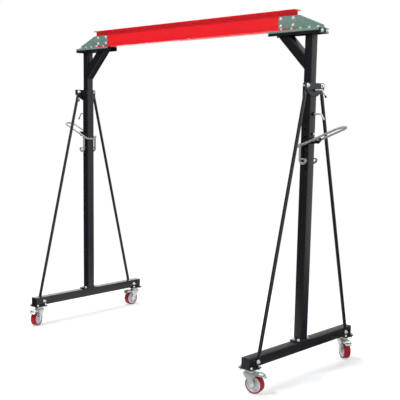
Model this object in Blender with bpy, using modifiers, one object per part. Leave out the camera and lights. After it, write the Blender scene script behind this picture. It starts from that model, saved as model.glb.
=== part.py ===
"""Portable gantry crane: a beam on two height-adjustable side frames that roll on braked casters.

Metres, +Z up. X runs along the beam, and the right frame is at +X. Y runs along the base tubes,
and the near side is at -Y. The origin is on the floor, under the middle of the beam.
"""
from math import atan2, cos, hypot, pi, radians, sin

import bmesh
import bpy
from mathutils import Matrix, Vector

# Clearances
SEAT_GAP = 0.0003
RUNNING_GAP = 0.0005

# Overall sizes
POST_SPAN = 2.36
BASE_LENGTH = 1.25
OUTER_POST_LENGTH = 1.805
INNER_POST_LENGTH = 1.20
INNER_POST_SHOWN = 0.3545
BEAM_END_INSET = 0.12
BEAM_LENGTH = POST_SPAN - 2 * BEAM_END_INSET

# Square tubes
TUBE_SIZE = 0.070
TUBE_WALL = 0.0035
INNER_WALL = 0.004

# Base and its plates
MOUNT_PLATE_X = 0.115
MOUNT_PLATE_Y = 0.110
MOUNT_PLATE_THICK = 0.008
MOUNT_OVERHANG = 0.005
FOOT_PLATE_X = 0.088
FOOT_PLATE_Y = 0.148
FOOT_PLATE_THICK = 0.008

# Collar plate at the head of the outer post
COLLAR_WIDTH = 0.230
COLLAR_EDGE = 0.042
COLLAR_DEPTH = 0.090
COLLAR_THICK = 0.008

# Braces
BRACE_RADIUS = 0.0125
BRACE_FLAT = 0.005
BRACE_FLAT_WIDTH = 0.030
BRACE_FLAT_LENGTH = 0.085
BRACE_TOP_Y = 0.085
BRACE_TOP_DROP = 0.018
BRACE_FOOT_INSET = 0.085
BRACE_END = 0.016

# Height holes through both posts
HOLE_RADIUS = 0.0070
HOLE_PITCH = 0.051
HOLE_COUNT = 6
TOP_HOLE_DROP = 0.262

# Clamp screws
SCREW_RADIUS = 0.0055
SCREW_REACH = 0.066
HANDLE_REACH = 0.034
HANDLE_DROP = 0.052
UPPER_SCREW_DROP = 0.048
LOWER_SCREW_DROP = 0.209
BOSS_RADIUS = 0.013
BOSS_LENGTH = 0.014

# Index bolt
INDEX_RADIUS = 0.005
INDEX_DROP = 0.345
INDEX_BOSS_RADIUS = 0.009
INDEX_BOSS_LENGTH = 0.010
INDEX_HEAD_RADIUS = 0.009
INDEX_HEAD_LENGTH = 0.006

# Lifting lever, its bracket and its links
ROD_RADIUS = 0.007
LEVER_HALF_WIDTH = 0.050
CROSSBAR_GAP = 0.0055
LEVER_OUTER = 0.235
LEVER_CORNER = 0.015
LEVER_ANGLE = radians(22.5)
FULCRUM_REACH = 0.0375
FULCRUM_DROP = 0.384
FULCRUM_RADIUS = 0.006
CHEEK_HALF_GAP = 0.026
CHEEK_THICK = 0.006
CHEEK_REACH = 0.056
CHEEK_LOW = 0.027
CHEEK_HIGH = 0.014
LINK_ARM = 0.0952
LINK_SIDE = 0.066
LINK_LENGTH = 0.101
LINK_EYE_RADIUS = 0.012
LINK_EYE_WIDTH = 0.014
LINK_PIN_RADIUS = 0.005
HOOK_RADIUS = 0.025
HOOK_TIP_ANGLE = radians(368)

# Head: saddle angles, strut, gussets
ANGLE_LENGTH = 0.420
ANGLE_WIDTH = 0.052
ANGLE_HEIGHT = 0.034
ANGLE_THICK = 0.005
ANGLE_SPLIT = 0.003
ANGLE_OUTER_REACH = 0.094
STRUT_WALL = 0.004
STRUT_DROP = 0.2085
STRUT_ANGLE = radians(44.5)
GUSSET_THICK = 0.006
GUSSET_INNER_REACH = 0.273
GUSSET_APEX_REACH = 0.101
GUSSET_HEIGHT = 0.095
GUSSET_EDGE = 0.022
GUSSET_FOOT = 0.026

# Beam section
BEAM_HEIGHT = 0.140
BEAM_WIDTH = 0.073
BEAM_WEB = 0.0047
BEAM_FLANGE = 0.0069

# Casters
CASTER_HEIGHT = 0.165
WHEEL_RADIUS = 0.0625
TREAD_WIDTH = 0.050
TREAD_THICK = 0.0095
TREAD_SOFT = 0.004
TREAD_SOFT_STEP = 0.0012
CORE_WIDTH = 0.044
CORE_HUB_RADIUS = 0.016
CORE_WEB_HALF = 0.0120
CORE_RIM_ROOT = 0.008
CORE_RIM_LIP = 0.005
CASTER_TRAIL = 0.040
CASTER_PLATE_X = 0.105
CASTER_PLATE_Y = 0.100
CASTER_PLATE_THICK = 0.005
RACE_RADIUS = 0.036
RACE_HEIGHT = 0.010
SWIVEL_RING_RADIUS = 0.033
SWIVEL_RING_HEIGHT = 0.008
CROWN_THICK = 0.006
FORK_CHEEK = 0.004
FORK_INNER = 0.0315
FORK_BOSS = 0.019
FORK_BOSS_START = radians(169)
FORK_BOSS_END = radians(378)
FORK_WAIST_X = 0.042
FORK_WAIST_Z = 0.104
AXLE_RADIUS = 0.006
AXLE_HEAD_RADIUS = 0.010
AXLE_HEAD_LENGTH = 0.007
KINGPIN_RADIUS = 0.007
KINGPIN_HEAD_RADIUS = 0.011
KINGPIN_HEAD_LENGTH = 0.004
PEDAL_HALF_WIDTH = 0.0290
PEDAL_THICK = 0.003
PEDAL_PIN_RADIUS = 0.003
PEDAL_PIN_REACH = 0.010
PEDAL_PIN_ABOVE = 0.0695
PEDAL_SIDE = ((-0.005, 0.0), (0.0125, 0.0), (0.018, 0.013), (0.026, 0.016), (0.050, 0.016), (0.058, 0.010),
              (0.064, -0.004), (0.076, -0.012))
CASTER_TURNS = {
    ("right", "near"): radians(10.0),
    ("right", "far"): radians(-37.0),
    ("left", "near"): radians(-66.0),
    ("left", "far"): radians(-91.0),
}

SIDES = {"right": 1, "left": -1}
ENDS = {"near": -1, "far": 1}

# Heights and reaches that follow from the sizes above
HALF_TUBE = TUBE_SIZE / 2
BASE_LOW = CASTER_HEIGHT + SEAT_GAP + MOUNT_PLATE_THICK
BASE_HIGH = BASE_LOW + TUBE_SIZE
FOOT_LOW = BASE_HIGH + SEAT_GAP
POST_LOW = FOOT_LOW + FOOT_PLATE_THICK
POST_HIGH = POST_LOW + OUTER_POST_LENGTH
INNER_SIZE = TUBE_SIZE - 2 * TUBE_WALL - 2 * RUNNING_GAP
INNER_HIGH = POST_HIGH + INNER_POST_SHOWN
INNER_LOW = INNER_HIGH - INNER_POST_LENGTH
ANGLE_HIGH = INNER_HIGH + SEAT_GAP + ANGLE_THICK
BEAM_LOW = ANGLE_HIGH + SEAT_GAP
BEAM_HIGH = BEAM_LOW + BEAM_HEIGHT
CASTER_Y = BASE_LENGTH / 2 + MOUNT_OVERHANG - MOUNT_PLATE_Y / 2
FACE_X = POST_SPAN / 2 + HALF_TUBE
SCREW_DROPS = {"upper": UPPER_SCREW_DROP, "lower": LOWER_SCREW_DROP}
LEVER_INNER = (TUBE_SIZE + FULCRUM_REACH + CROSSBAR_GAP + ROD_RADIUS) / cos(LEVER_ANGLE)


# ---------------------------------------------------------------- helpers

def clear_scene():
    for old in list(bpy.data.objects):
        bpy.data.objects.remove(old, do_unlink=True)


def new_collection(name):
    collection = bpy.data.collections.new(name)
    bpy.context.scene.collection.children.link(collection)
    return collection


def make_material(name, colour, roughness, metallic):
    material = bpy.data.materials.new(name)
    material.use_nodes = True
    shader = material.node_tree.nodes["Principled BSDF"]
    shader.inputs["Base Color"].default_value = (*colour, 1.0)
    shader.inputs["Roughness"].default_value = roughness
    shader.inputs["Metallic"].default_value = metallic
    material.diffuse_color = (*colour, 1.0)
    return material


def add_object(name, data, parent=None):
    made = bpy.data.objects.new(name, data)
    tools.objects.link(made)
    made.parent = parent
    return made


def mesh_from(bm, name):
    mesh = bpy.data.meshes.new(name)
    bmesh.ops.recalc_face_normals(bm, faces=bm.faces)
    bm.to_mesh(mesh)
    bm.free()
    return mesh


def make_box(name, low, high, parent=None):
    low, high = Vector(low), Vector(high)
    bm = bmesh.new()
    bmesh.ops.create_cube(bm, size=1)
    bmesh.ops.scale(bm, vec=high - low, verts=bm.verts)
    bmesh.ops.translate(bm, vec=(low + high) / 2, verts=bm.verts)
    return add_object(name, mesh_from(bm, name), parent)


def make_bar(name, start, end, radius, sides=16, parent=None):
    """A straight round bar between two points."""
    start, end = Vector(start), Vector(end)
    run = end - start
    turn = Vector((0, 0, 1)).rotation_difference(run).to_matrix().to_4x4()
    place = Matrix.Translation((start + end) / 2) @ turn
    bm = bmesh.new()
    bmesh.ops.create_cone(bm, cap_ends=True, segments=sides, radius1=radius, radius2=radius,
                          depth=run.length, matrix=place)
    return add_object(name, mesh_from(bm, name), parent)


def make_hole_row(name, x, highest, count):
    """One cutter for a row of height holes along Y."""
    turn = Matrix.Rotation(pi / 2, 4, "X")
    bm = bmesh.new()
    for number in range(count):
        place = Matrix.Translation((x, 0, highest - number * HOLE_PITCH))
        bmesh.ops.create_cone(bm, cap_ends=True, segments=12, radius1=HOLE_RADIUS, radius2=HOLE_RADIUS,
                              depth=2 * TUBE_SIZE, matrix=place @ turn)
    return add_object(name, mesh_from(bm, name))


def as_mesh(made):
    """Turn a curve object into a closed mesh object."""
    view = bpy.context.evaluated_depsgraph_get()
    mesh = bpy.data.meshes.new_from_object(made.evaluated_get(view))
    bm = bmesh.new()
    bm.from_mesh(mesh)
    bmesh.ops.remove_doubles(bm, verts=bm.verts, dist=0.00001)
    bmesh.ops.recalc_face_normals(bm, faces=bm.faces)
    bm.to_mesh(mesh)
    bm.free()
    solid = add_object(made.name, mesh, made.parent)
    solid.matrix_world = made.matrix_world.copy()
    name = made.name
    bpy.data.objects.remove(made, do_unlink=True)
    solid.name = name
    return solid


def make_wire(name, points, radius, cyclic=False, parent=None):
    """A round rod along a list of points."""
    curve = bpy.data.curves.new(name, "CURVE")
    curve.dimensions = "3D"
    curve.bevel_depth = radius
    curve.bevel_resolution = 2
    curve.use_fill_caps = not cyclic
    spline = curve.splines.new("POLY")
    spline.points.add(len(points) - 1)
    for spot, point in zip(spline.points, points):
        spot.co = (*point, 1.0)
    spline.use_cyclic_u = cyclic
    return add_object(name, curve, parent)


def make_plate(name, outlines, start, end, along="Y", parent=None):
    """A flat outline, given as (X, Z) for a plate along Y or as (Y, Z) for one along X."""
    curve = bpy.data.curves.new(name, "CURVE")
    curve.dimensions = "2D"
    curve.fill_mode = "BOTH"
    curve.extrude = abs(end - start) / 2
    for outline in outlines:
        spline = curve.splines.new("POLY")
        spline.points.add(len(outline) - 1)
        for spot, (across, height) in zip(spline.points, outline):
            spot.co = (across, height, 0.0, 1.0)
        spline.use_cyclic_u = True
    plate = as_mesh(add_object(name, curve, None))
    turn = Matrix.Rotation(pi / 2, 4, "X")
    middle = Vector((0, (start + end) / 2, 0))
    if along == "X":
        turn = Matrix.Rotation(pi / 2, 4, "Z") @ turn
        middle = Vector(((start + end) / 2, 0, 0))
    plate.data.transform(Matrix.Translation(middle) @ turn)
    plate.parent = parent
    return plate


def make_turned(name, profile, steps, parent=None):
    """A profile of (radius, Y) points, turned about the Y axis."""
    bm = bmesh.new()
    spots = [bm.verts.new((radius, 0, across)) for radius, across in profile]
    for first, second in zip(spots, spots[1:] + spots[:1]):
        bm.edges.new((first, second))
    mesh = bpy.data.meshes.new(name)
    bm.to_mesh(mesh)
    bm.free()
    made = add_object(name, mesh, parent)
    made.rotation_euler = (pi / 2, 0, 0)
    screw = made.modifiers.new("turn", "SCREW")
    screw.axis = "Z"
    screw.steps = steps
    screw.render_steps = steps
    screw.use_merge_vertices = True
    screw.merge_threshold = 0.00001
    return made


def combine(base, operation, others):
    for other in others:
        change = base.modifiers.new(operation.lower(), "BOOLEAN")
        change.operation = operation
        change.object = other
        change.solver = "EXACT"
        other.hide_render = True
        other.display_type = "WIRE"


def join(base, *others):
    combine(base, "UNION", others)
    return base


def cut(base, *others):
    combine(base, "DIFFERENCE", others)
    return base


def finish(made, material, origin=(0, 0, 0)):
    """Give a finished piece its material, its own origin and its collection."""
    origin = Vector(origin)
    made.data.transform(Matrix.Translation(-origin))
    made.location = origin
    made.data.materials.clear()
    made.data.materials.append(material)
    tools.objects.unlink(made)
    crane.objects.link(made)
    return made


def arc(centre, radius, start, end, steps):
    """Points (across, height) on an arc, both ends included."""
    angles = [start + (end - start) * step / steps for step in range(steps + 1)]
    return [(centre[0] + radius * cos(a), centre[1] + radius * sin(a)) for a in angles]


def make_square_tube(name, size, wall, low, high, middle):
    """An upright square tube, open at both ends."""
    x, y = middle
    half, inner = size / 2, size / 2 - wall
    tube = make_box(name, (x - half, y - half, low), (x + half, y + half, high))
    bore = make_box(name + "_bore", (x - inner, y - inner, low - size),
                    (x + inner, y + inner, high + size))
    return cut(tube, bore)


# ---------------------------------------------------------------- side frames

def build_base(side, sign):
    x = sign * POST_SPAN / 2
    half_length = BASE_LENGTH / 2
    inner = HALF_TUBE - TUBE_WALL
    base = make_box("base_tube_" + side, (x - HALF_TUBE, -half_length, BASE_LOW),
                    (x + HALF_TUBE, half_length, BASE_HIGH))
    for end, way in ENDS.items():
        y = way * CASTER_Y
        join(base, make_box("mount_plate_" + side + end,
                            (x - MOUNT_PLATE_X / 2, y - MOUNT_PLATE_Y / 2, BASE_LOW - MOUNT_PLATE_THICK),
                            (x + MOUNT_PLATE_X / 2, y + MOUNT_PLATE_Y / 2, BASE_LOW)))
    cut(base, make_box("base_bore_" + side, (x - inner, -BASE_LENGTH, BASE_LOW + TUBE_WALL),
                       (x + inner, BASE_LENGTH, BASE_HIGH - TUBE_WALL)))
    finish(base, black_paint)


def collar_outline():
    half, low = COLLAR_WIDTH / 2, POST_HIGH - COLLAR_DEPTH
    return [(-half, POST_HIGH), (half, POST_HIGH), (half, POST_HIGH - COLLAR_EDGE), (HALF_TUBE, low),
            (-HALF_TUBE, low), (-half, POST_HIGH - COLLAR_EDGE)]


def outward(sign, reach):
    """The X that lies a distance outside the outer face of a post."""
    return sign * (FACE_X + reach)


def build_outer_post(side, sign):
    x = sign * POST_SPAN / 2
    name = "outer_post_" + side
    in_plate = POST_LOW - FOOT_PLATE_THICK / 2
    post = make_box(name, (x - HALF_TUBE, -HALF_TUBE, in_plate), (x + HALF_TUBE, HALF_TUBE, POST_HIGH))
    join(post, make_box("foot_plate_" + side, (x - FOOT_PLATE_X / 2, -FOOT_PLATE_Y / 2, FOOT_LOW),
                        (x + FOOT_PLATE_X / 2, FOOT_PLATE_Y / 2, POST_LOW)))
    join(post, make_plate("collar_" + side, [collar_outline()], outward(sign, -SEAT_GAP / 2),
                          outward(sign, COLLAR_THICK), "X"))
    for level, drop in SCREW_DROPS.items():
        z = POST_HIGH - drop
        join(post, make_bar("boss_" + level + side, (x, 0, z), (outward(sign, BOSS_LENGTH), 0, z),
                            BOSS_RADIUS, 16))
    index_z = POST_HIGH - INDEX_DROP
    join(post, make_bar("index_boss_" + side, (x, 0, index_z),
                        (outward(sign, INDEX_BOSS_LENGTH), 0, index_z), INDEX_BOSS_RADIUS, 12))
    inner = HALF_TUBE - TUBE_WALL
    cut(post, make_box("post_bore_" + side, (x - inner, -inner, POST_LOW),
                       (x + inner, inner, POST_HIGH + TUBE_SIZE)))
    for level, drop in SCREW_DROPS.items():
        z = POST_HIGH - drop
        cut(post, make_bar("screw_bore_" + level + side, (x, 0, z), (outward(sign, SCREW_REACH), 0, z),
                           SCREW_RADIUS + RUNNING_GAP, 12))
    cut(post, make_bar("index_bore_" + side, (x, 0, index_z), (outward(sign, SCREW_REACH), 0, index_z),
                       INDEX_RADIUS + RUNNING_GAP, 12))
    cut(post, make_hole_row("height_holes_" + side, x, POST_HIGH - TOP_HOLE_DROP, HOLE_COUNT))
    finish(post, black_paint)


def build_brace(side, sign, end, way):
    """A round tube with flattened ends, from behind the collar plate to the base's outer face."""
    top = Vector((outward(sign, -SEAT_GAP - BRACE_FLAT / 2), way * BRACE_TOP_Y,
                  POST_HIGH - BRACE_TOP_DROP))
    foot = Vector((outward(sign, SEAT_GAP + BRACE_FLAT / 2), way * (BASE_LENGTH / 2 - BRACE_FOOT_INSET),
                   (BASE_LOW + BASE_HIGH) / 2))
    run = (foot - top).normalized()
    name = f"brace_{side}_{end}"
    from_flat = BRACE_FLAT_LENGTH - BRACE_FLAT_WIDTH
    tube = make_bar(name, top + run * from_flat, foot - run * from_flat, BRACE_RADIUS, 16)
    lean = atan2(run.y, -run.z)
    for tag, spot, way_up in (("top", top, -1), ("foot", foot, 1)):
        low = -BRACE_FLAT_LENGTH if way_up < 0 else -BRACE_END
        high = BRACE_END if way_up < 0 else BRACE_FLAT_LENGTH
        flat = make_box(name + tag, (-BRACE_FLAT / 2, -BRACE_FLAT_WIDTH / 2, low),
                        (BRACE_FLAT / 2, BRACE_FLAT_WIDTH / 2, high))
        flat.data.transform(Matrix.Translation(spot) @ Matrix.Rotation(lean, 4, "X"))
        join(tube, flat)
    finish(tube, black_paint)


def build_clamp_screw(side, sign, level, drop):
    """A screw with a bent handle; its tip stops just short of the inner post."""
    z = POST_HIGH - drop
    tip = outward(sign, SEAT_GAP - TUBE_WALL)
    elbow = outward(sign, SCREW_REACH)
    bend = SCREW_RADIUS * 2
    slope = hypot(HANDLE_REACH, HANDLE_DROP)
    ahead = Vector((sign * HANDLE_REACH / slope, 0, -HANDLE_DROP / slope))
    corner = Vector((elbow, 0, z))
    points = [Vector((tip, 0, z)), corner - Vector((sign * bend, 0, 0)),
              corner + (ahead - Vector((sign, 0, 0))) * bend / 4, corner + ahead * bend,
              corner + ahead * slope]
    screw = as_mesh(make_wire(f"clamp_screw_{side}_{level}", points, SCREW_RADIUS))
    finish(screw, zinc, (elbow, 0, z))


def build_index_bolt(side, sign):
    z = POST_HIGH - INDEX_DROP
    seat = outward(sign, INDEX_BOSS_LENGTH + SEAT_GAP)
    nose = outward(sign, SEAT_GAP - TUBE_WALL)
    head_end = seat + sign * INDEX_HEAD_LENGTH
    bolt = make_bar("index_bolt_" + side, (nose, 0, z), ((seat + head_end) / 2, 0, z),
                    INDEX_RADIUS, 12)
    head = make_bar("index_head_" + side, (seat, 0, z), (head_end, 0, z), INDEX_HEAD_RADIUS, 12)
    finish(join(bolt, head), zinc, (seat, 0, z))


# ---------------------------------------------------------------- lifting lever

def fulcrum(sign):
    return Vector((outward(sign, FULCRUM_REACH), 0, POST_HIGH - FULCRUM_DROP))


def lever_spot(sign, along, across):
    """A point of the lever's plane; along runs from the fulcrum towards the grip."""
    pivot = fulcrum(sign)
    return pivot + Vector((sign * along * cos(LEVER_ANGLE), across, along * sin(LEVER_ANGLE)))


def build_lever(side, sign):
    half, corner = LEVER_HALF_WIDTH, LEVER_CORNER
    near_corner = arc((-LEVER_INNER + corner, -half + corner), corner, pi, 1.5 * pi, 3)
    grip = arc((LEVER_OUTER - half, 0), half, -pi / 2, pi / 2, 10)
    far_corner = arc((-LEVER_INNER + corner, half - corner), corner, pi / 2, pi, 3)
    points = [lever_spot(sign, *point) for point in near_corner + grip + far_corner]
    lever = as_mesh(make_wire("lift_lever_" + side, points, ROD_RADIUS, cyclic=True))
    pivot = fulcrum(sign)
    across = Vector((0, half, 0))
    join(lever, make_bar("fulcrum_bar_" + side, pivot - across, pivot + across, FULCRUM_RADIUS, 12))
    for end, way in ENDS.items():
        eye = lever_spot(sign, -LINK_ARM, way * half)
        reach = Vector((0, way * (LINK_SIDE + LINK_EYE_WIDTH / 2 + ROD_RADIUS / 2 - half), 0))
        join(lever, make_bar("link_pin_" + side + end, eye, eye + reach, LINK_PIN_RADIUS, 12))
    finish(lever, zinc, pivot)


def build_link(side, sign, end, way):
    """A hanging rod with an eye, a hook and a stud that points at the height holes."""
    eye = lever_spot(sign, -LINK_ARM, way * LINK_SIDE)
    name = f"lift_link_{side}_{end}"
    hook_z = eye.z - LINK_LENGTH
    hook = arc((0, 0), HOOK_RADIUS, pi, HOOK_TIP_ANGLE, 8)
    points = [eye - Vector((0, 0, LINK_EYE_RADIUS / 2))]
    points += [Vector((eye.x + sign * (HOOK_RADIUS + dx), eye.y, hook_z + dz)) for dx, dz in hook]
    link = as_mesh(make_wire(name, points, ROD_RADIUS))
    half_eye = Vector((0, LINK_EYE_WIDTH / 2, 0))
    join(link, make_bar(name + "_eye", eye - half_eye, eye + half_eye, LINK_EYE_RADIUS, 16))
    bar_z = hook_z + LINK_PIN_RADIUS
    bar_end = eye.x + sign * HOOK_RADIUS * 2
    join(link, make_bar(name + "_bar", (eye.x, eye.y, bar_z), (bar_end, eye.y, bar_z),
                        LINK_PIN_RADIUS, 12))
    stud_x = sign * POST_SPAN / 2
    stud_end = way * (HALF_TUBE + RUNNING_GAP)
    join(link, make_bar(name + "_stud", (stud_x, eye.y, bar_z), (stud_x, stud_end, bar_z),
                        LINK_PIN_RADIUS, 12))
    bore = Vector((0, LINK_EYE_WIDTH, 0))
    cut(link, make_bar(name + "_bore", eye - bore, eye + bore, LINK_PIN_RADIUS + RUNNING_GAP, 12))
    finish(link, zinc, eye)


def build_lever_bracket(side, sign):
    """Two cheeks on a back plate, on the outer face of the outer post."""
    pivot = fulcrum(sign)
    low, high = pivot.z - CHEEK_LOW, pivot.z + CHEEK_HIGH
    half = CHEEK_HALF_GAP + CHEEK_THICK
    seat, reach = outward(sign, SEAT_GAP), outward(sign, CHEEK_REACH)
    back, beyond = outward(sign, SEAT_GAP + CHEEK_THICK), outward(sign, CHEEK_REACH + half)
    bracket = make_box("lever_bracket_" + side, (min(seat, reach), -half, low),
                       (max(seat, reach), half, high))
    cut(bracket, make_box("bracket_gap_" + side, (min(back, beyond), -CHEEK_HALF_GAP, low - half),
                          (max(back, beyond), CHEEK_HALF_GAP, high + half)))
    across = Vector((0, TUBE_SIZE, 0))
    cut(bracket, make_bar("bracket_bore_" + side, pivot - across, pivot + across,
                          FULCRUM_RADIUS + RUNNING_GAP, 12))
    finish(bracket, black_paint)


# ---------------------------------------------------------------- head

def build_inner_post(side, sign):
    x = sign * POST_SPAN / 2
    post = make_square_tube("inner_post_" + side, INNER_SIZE, INNER_WALL, INNER_LOW, INNER_HIGH, (x, 0))
    highest = POST_HIGH - TOP_HOLE_DROP
    count = int((highest - INNER_LOW - 2 * HOLE_RADIUS) / HOLE_PITCH) + 1
    cut(post, make_hole_row("inner_holes_" + side, x, highest, count))
    finish(post, black_paint)


def strut_outline(sign, inset, stretch):
    """The strut seen from the side: a slanted tube with a level top and an upright foot."""
    half = HALF_TUBE - inset
    face = POST_SPAN / 2 - INNER_SIZE / 2 - SEAT_GAP + stretch
    top = INNER_HIGH + stretch
    foot_z = INNER_HIGH - STRUT_DROP
    upright = half / cos(STRUT_ANGLE)
    slope = sin(STRUT_ANGLE) / cos(STRUT_ANGLE)
    low, high = foot_z - upright - stretch * slope, foot_z + upright - stretch * slope
    return [(sign * face, low), (sign * face, high), (sign * (face - (top - high) / slope), top),
            (sign * (face - (top - low) / slope), top)]


def build_strut(side, sign):
    strut = make_plate("strut_" + side, [strut_outline(sign, 0, 0)], -HALF_TUBE, HALF_TUBE)
    inner = HALF_TUBE - STRUT_WALL
    cut(strut, make_plate("strut_bore_" + side, [strut_outline(sign, STRUT_WALL, TUBE_SIZE)],
                          -inner, inner))
    finish(strut, black_paint)


def build_saddle_angle(side, sign, end, way):
    outer = POST_SPAN / 2 + ANGLE_OUTER_REACH
    near, far = ANGLE_SPLIT / 2, ANGLE_SPLIT / 2 + ANGLE_WIDTH
    wall = far - ANGLE_THICK
    outline = [(near, ANGLE_HIGH), (far, ANGLE_HIGH), (far, ANGLE_HIGH - ANGLE_HEIGHT),
               (wall, ANGLE_HIGH - ANGLE_HEIGHT), (wall, ANGLE_HIGH - ANGLE_THICK),
               (near, ANGLE_HIGH - ANGLE_THICK)]
    outline = [(way * y, z) for y, z in outline]
    angle = make_plate(f"saddle_angle_{side}_{end}", [outline], sign * (outer - ANGLE_LENGTH),
                       sign * outer, "X")
    finish(angle, black_paint)


def build_gusset(side, sign, end, way):
    """A plate bolted to the web, with a foot on the saddle beyond the beam's end."""
    middle = POST_SPAN / 2
    beam_end = BEAM_LENGTH / 2 + SEAT_GAP
    outer = middle + ANGLE_OUTER_REACH + RUNNING_GAP
    seat = ANGLE_HIGH + SEAT_GAP
    over_flange = BEAM_LOW + BEAM_FLANGE + SEAT_GAP
    high = over_flange + GUSSET_HEIGHT
    outline = [(middle - GUSSET_INNER_REACH, over_flange), (middle - GUSSET_INNER_REACH, high),
               (middle - GUSSET_APEX_REACH, high), (outer, seat + GUSSET_EDGE), (outer, seat),
               (beam_end, seat), (beam_end, over_flange)]
    outline = [(sign * x, z) for x, z in outline]
    inside = BEAM_WEB / 2 + SEAT_GAP
    outside = inside + GUSSET_THICK
    plate = make_plate(f"gusset_{side}_{end}", [outline], way * inside, way * outside)
    foot_start, foot_end = sign * beam_end, sign * outer
    foot_edge = way * (outside + GUSSET_FOOT)
    join(plate, make_box(f"gusset_foot_{side}{end}",
                         (min(foot_start, foot_end), min(way * inside, foot_edge), seat),
                         (max(foot_start, foot_end), max(way * inside, foot_edge), seat + GUSSET_THICK)))
    finish(plate, gusset_paint)


def build_beam():
    width, web = BEAM_WIDTH / 2, BEAM_WEB / 2
    low, high = BEAM_LOW + BEAM_FLANGE, BEAM_HIGH - BEAM_FLANGE
    outline = [(-width, BEAM_LOW), (width, BEAM_LOW), (width, low), (web, low), (web, high),
               (width, high), (width, BEAM_HIGH), (-width, BEAM_HIGH), (-width, high), (-web, high),
               (-web, low), (-width, low)]
    finish(make_plate("beam", [outline], -BEAM_LENGTH / 2, BEAM_LENGTH / 2, "X"), red_paint)


# ---------------------------------------------------------------- casters

def swivel_levels():
    """Heights of the swivel ring's top, the crown's top and the crown's underside."""
    ring_high = CASTER_HEIGHT - CASTER_PLATE_THICK - RACE_HEIGHT - RUNNING_GAP
    crown_high = ring_high - SWIVEL_RING_HEIGHT
    return ring_high, crown_high, crown_high - CROWN_THICK


def build_caster_plate(name, hub):
    plate_low = CASTER_HEIGHT - CASTER_PLATE_THICK
    plate_middle = CASTER_HEIGHT - CASTER_PLATE_THICK / 2
    race_low = plate_low - RACE_HEIGHT
    crown_low = swivel_levels()[2]
    plate = make_box("caster_plate_" + name, (-CASTER_PLATE_X / 2, -CASTER_PLATE_Y / 2, plate_low),
                     (CASTER_PLATE_X / 2, CASTER_PLATE_Y / 2, CASTER_HEIGHT), hub)
    head_high = crown_low - RUNNING_GAP
    head_low = head_high - KINGPIN_HEAD_LENGTH
    join(plate, make_bar("race_" + name, (0, 0, race_low), (0, 0, plate_middle), RACE_RADIUS, 24,
                         hub))
    join(plate, make_bar("kingpin_" + name, (0, 0, head_low), (0, 0, plate_middle),
                         KINGPIN_RADIUS, 12, hub))
    join(plate, make_bar("kingpin_head_" + name, (0, 0, head_low), (0, 0, head_high),
                         KINGPIN_HEAD_RADIUS, 12, hub))
    finish(plate, zinc)


def build_fork(name, swivel):
    ring_high, crown_high, crown_low = swivel_levels()
    outside = FORK_INNER + FORK_CHEEK
    back = -SWIVEL_RING_RADIUS
    front = CASTER_TRAIL + PEDAL_PIN_REACH + 3 * PEDAL_PIN_RADIUS
    fork = make_box("caster_fork_" + name, (back, -outside, crown_low),
                    (front, outside, crown_high), swivel)
    boss = arc((CASTER_TRAIL, WHEEL_RADIUS), FORK_BOSS, FORK_BOSS_START, FORK_BOSS_END, 8)
    cheek = [(front, crown_high), (back, crown_high), (back, crown_low - CROWN_THICK)] + boss
    cheek += [(FORK_WAIST_X, FORK_WAIST_Z), (front, crown_low - CROWN_THICK)]
    for end, way in ENDS.items():
        join(fork, make_plate("fork_cheek_" + name + end, [cheek], way * FORK_INNER, way * outside,
                              "Y", swivel))
    join(fork, make_bar("swivel_ring_" + name, (0, 0, crown_low), (0, 0, ring_high),
                        SWIVEL_RING_RADIUS, 24, swivel))
    cut(fork, make_bar("kingpin_bore_" + name, (0, 0, crown_low - CROWN_THICK), (0, 0, CASTER_HEIGHT),
                       KINGPIN_RADIUS + RUNNING_GAP, 12, swivel))
    for tag, spot, radius in (("axle", (CASTER_TRAIL, WHEEL_RADIUS), AXLE_RADIUS),
                              ("pedal", pedal_pin(), PEDAL_PIN_RADIUS)):
        cut(fork, make_bar(f"{tag}_bore_{name}", (spot[0], -TUBE_SIZE, spot[1]),
                           (spot[0], TUBE_SIZE, spot[1]), radius + SEAT_GAP, 12, swivel))
    finish(fork, zinc)


def build_axle(name, swivel):
    x, z = CASTER_TRAIL, WHEEL_RADIUS
    face = FORK_INNER + FORK_CHEEK + SEAT_GAP
    end = face + AXLE_HEAD_LENGTH
    axle = make_bar("caster_axle_" + name, (x, -end, z), (x, end, z), AXLE_RADIUS, 12, swivel)
    for side, way in ENDS.items():
        join(axle, make_bar("axle_head_" + name + side, (x, way * face, z), (x, way * end, z),
                            AXLE_HEAD_RADIUS, 6, swivel))
    finish(axle, zinc, (x, 0, z))


def build_wheel(name, swivel):
    hub_half = FORK_INNER - SEAT_GAP
    bore = AXLE_RADIUS + RUNNING_GAP
    core_half = CORE_WIDTH / 2
    rim = WHEEL_RADIUS - TREAD_THICK
    half_profile = [(bore, hub_half), (CORE_HUB_RADIUS, hub_half), (CORE_HUB_RADIUS, CORE_WEB_HALF),
                    (rim - CORE_RIM_ROOT, CORE_WEB_HALF), (rim - CORE_RIM_LIP, core_half),
                    (rim, core_half)]
    profile = half_profile + [(radius, -across) for radius, across in reversed(half_profile)]
    core = make_turned("wheel_core_" + name, profile, 28, swivel)
    place_turned(core, core_white)
    tread_half = TREAD_WIDTH / 2
    half_profile = [(rim + SEAT_GAP, tread_half), (WHEEL_RADIUS - TREAD_SOFT, tread_half),
                    (WHEEL_RADIUS - TREAD_SOFT_STEP, tread_half - TREAD_SOFT_STEP),
                    (WHEEL_RADIUS, tread_half - TREAD_SOFT)]
    profile = half_profile + [(radius, -across) for radius, across in reversed(half_profile)]
    tread = make_turned("wheel_tread_" + name, profile, 32, swivel)
    place_turned(tread, red_tread)


def place_turned(made, material):
    made.location = (CASTER_TRAIL, 0, WHEEL_RADIUS)
    made.data.materials.append(material)
    tools.objects.unlink(made)
    crane.objects.link(made)


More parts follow.
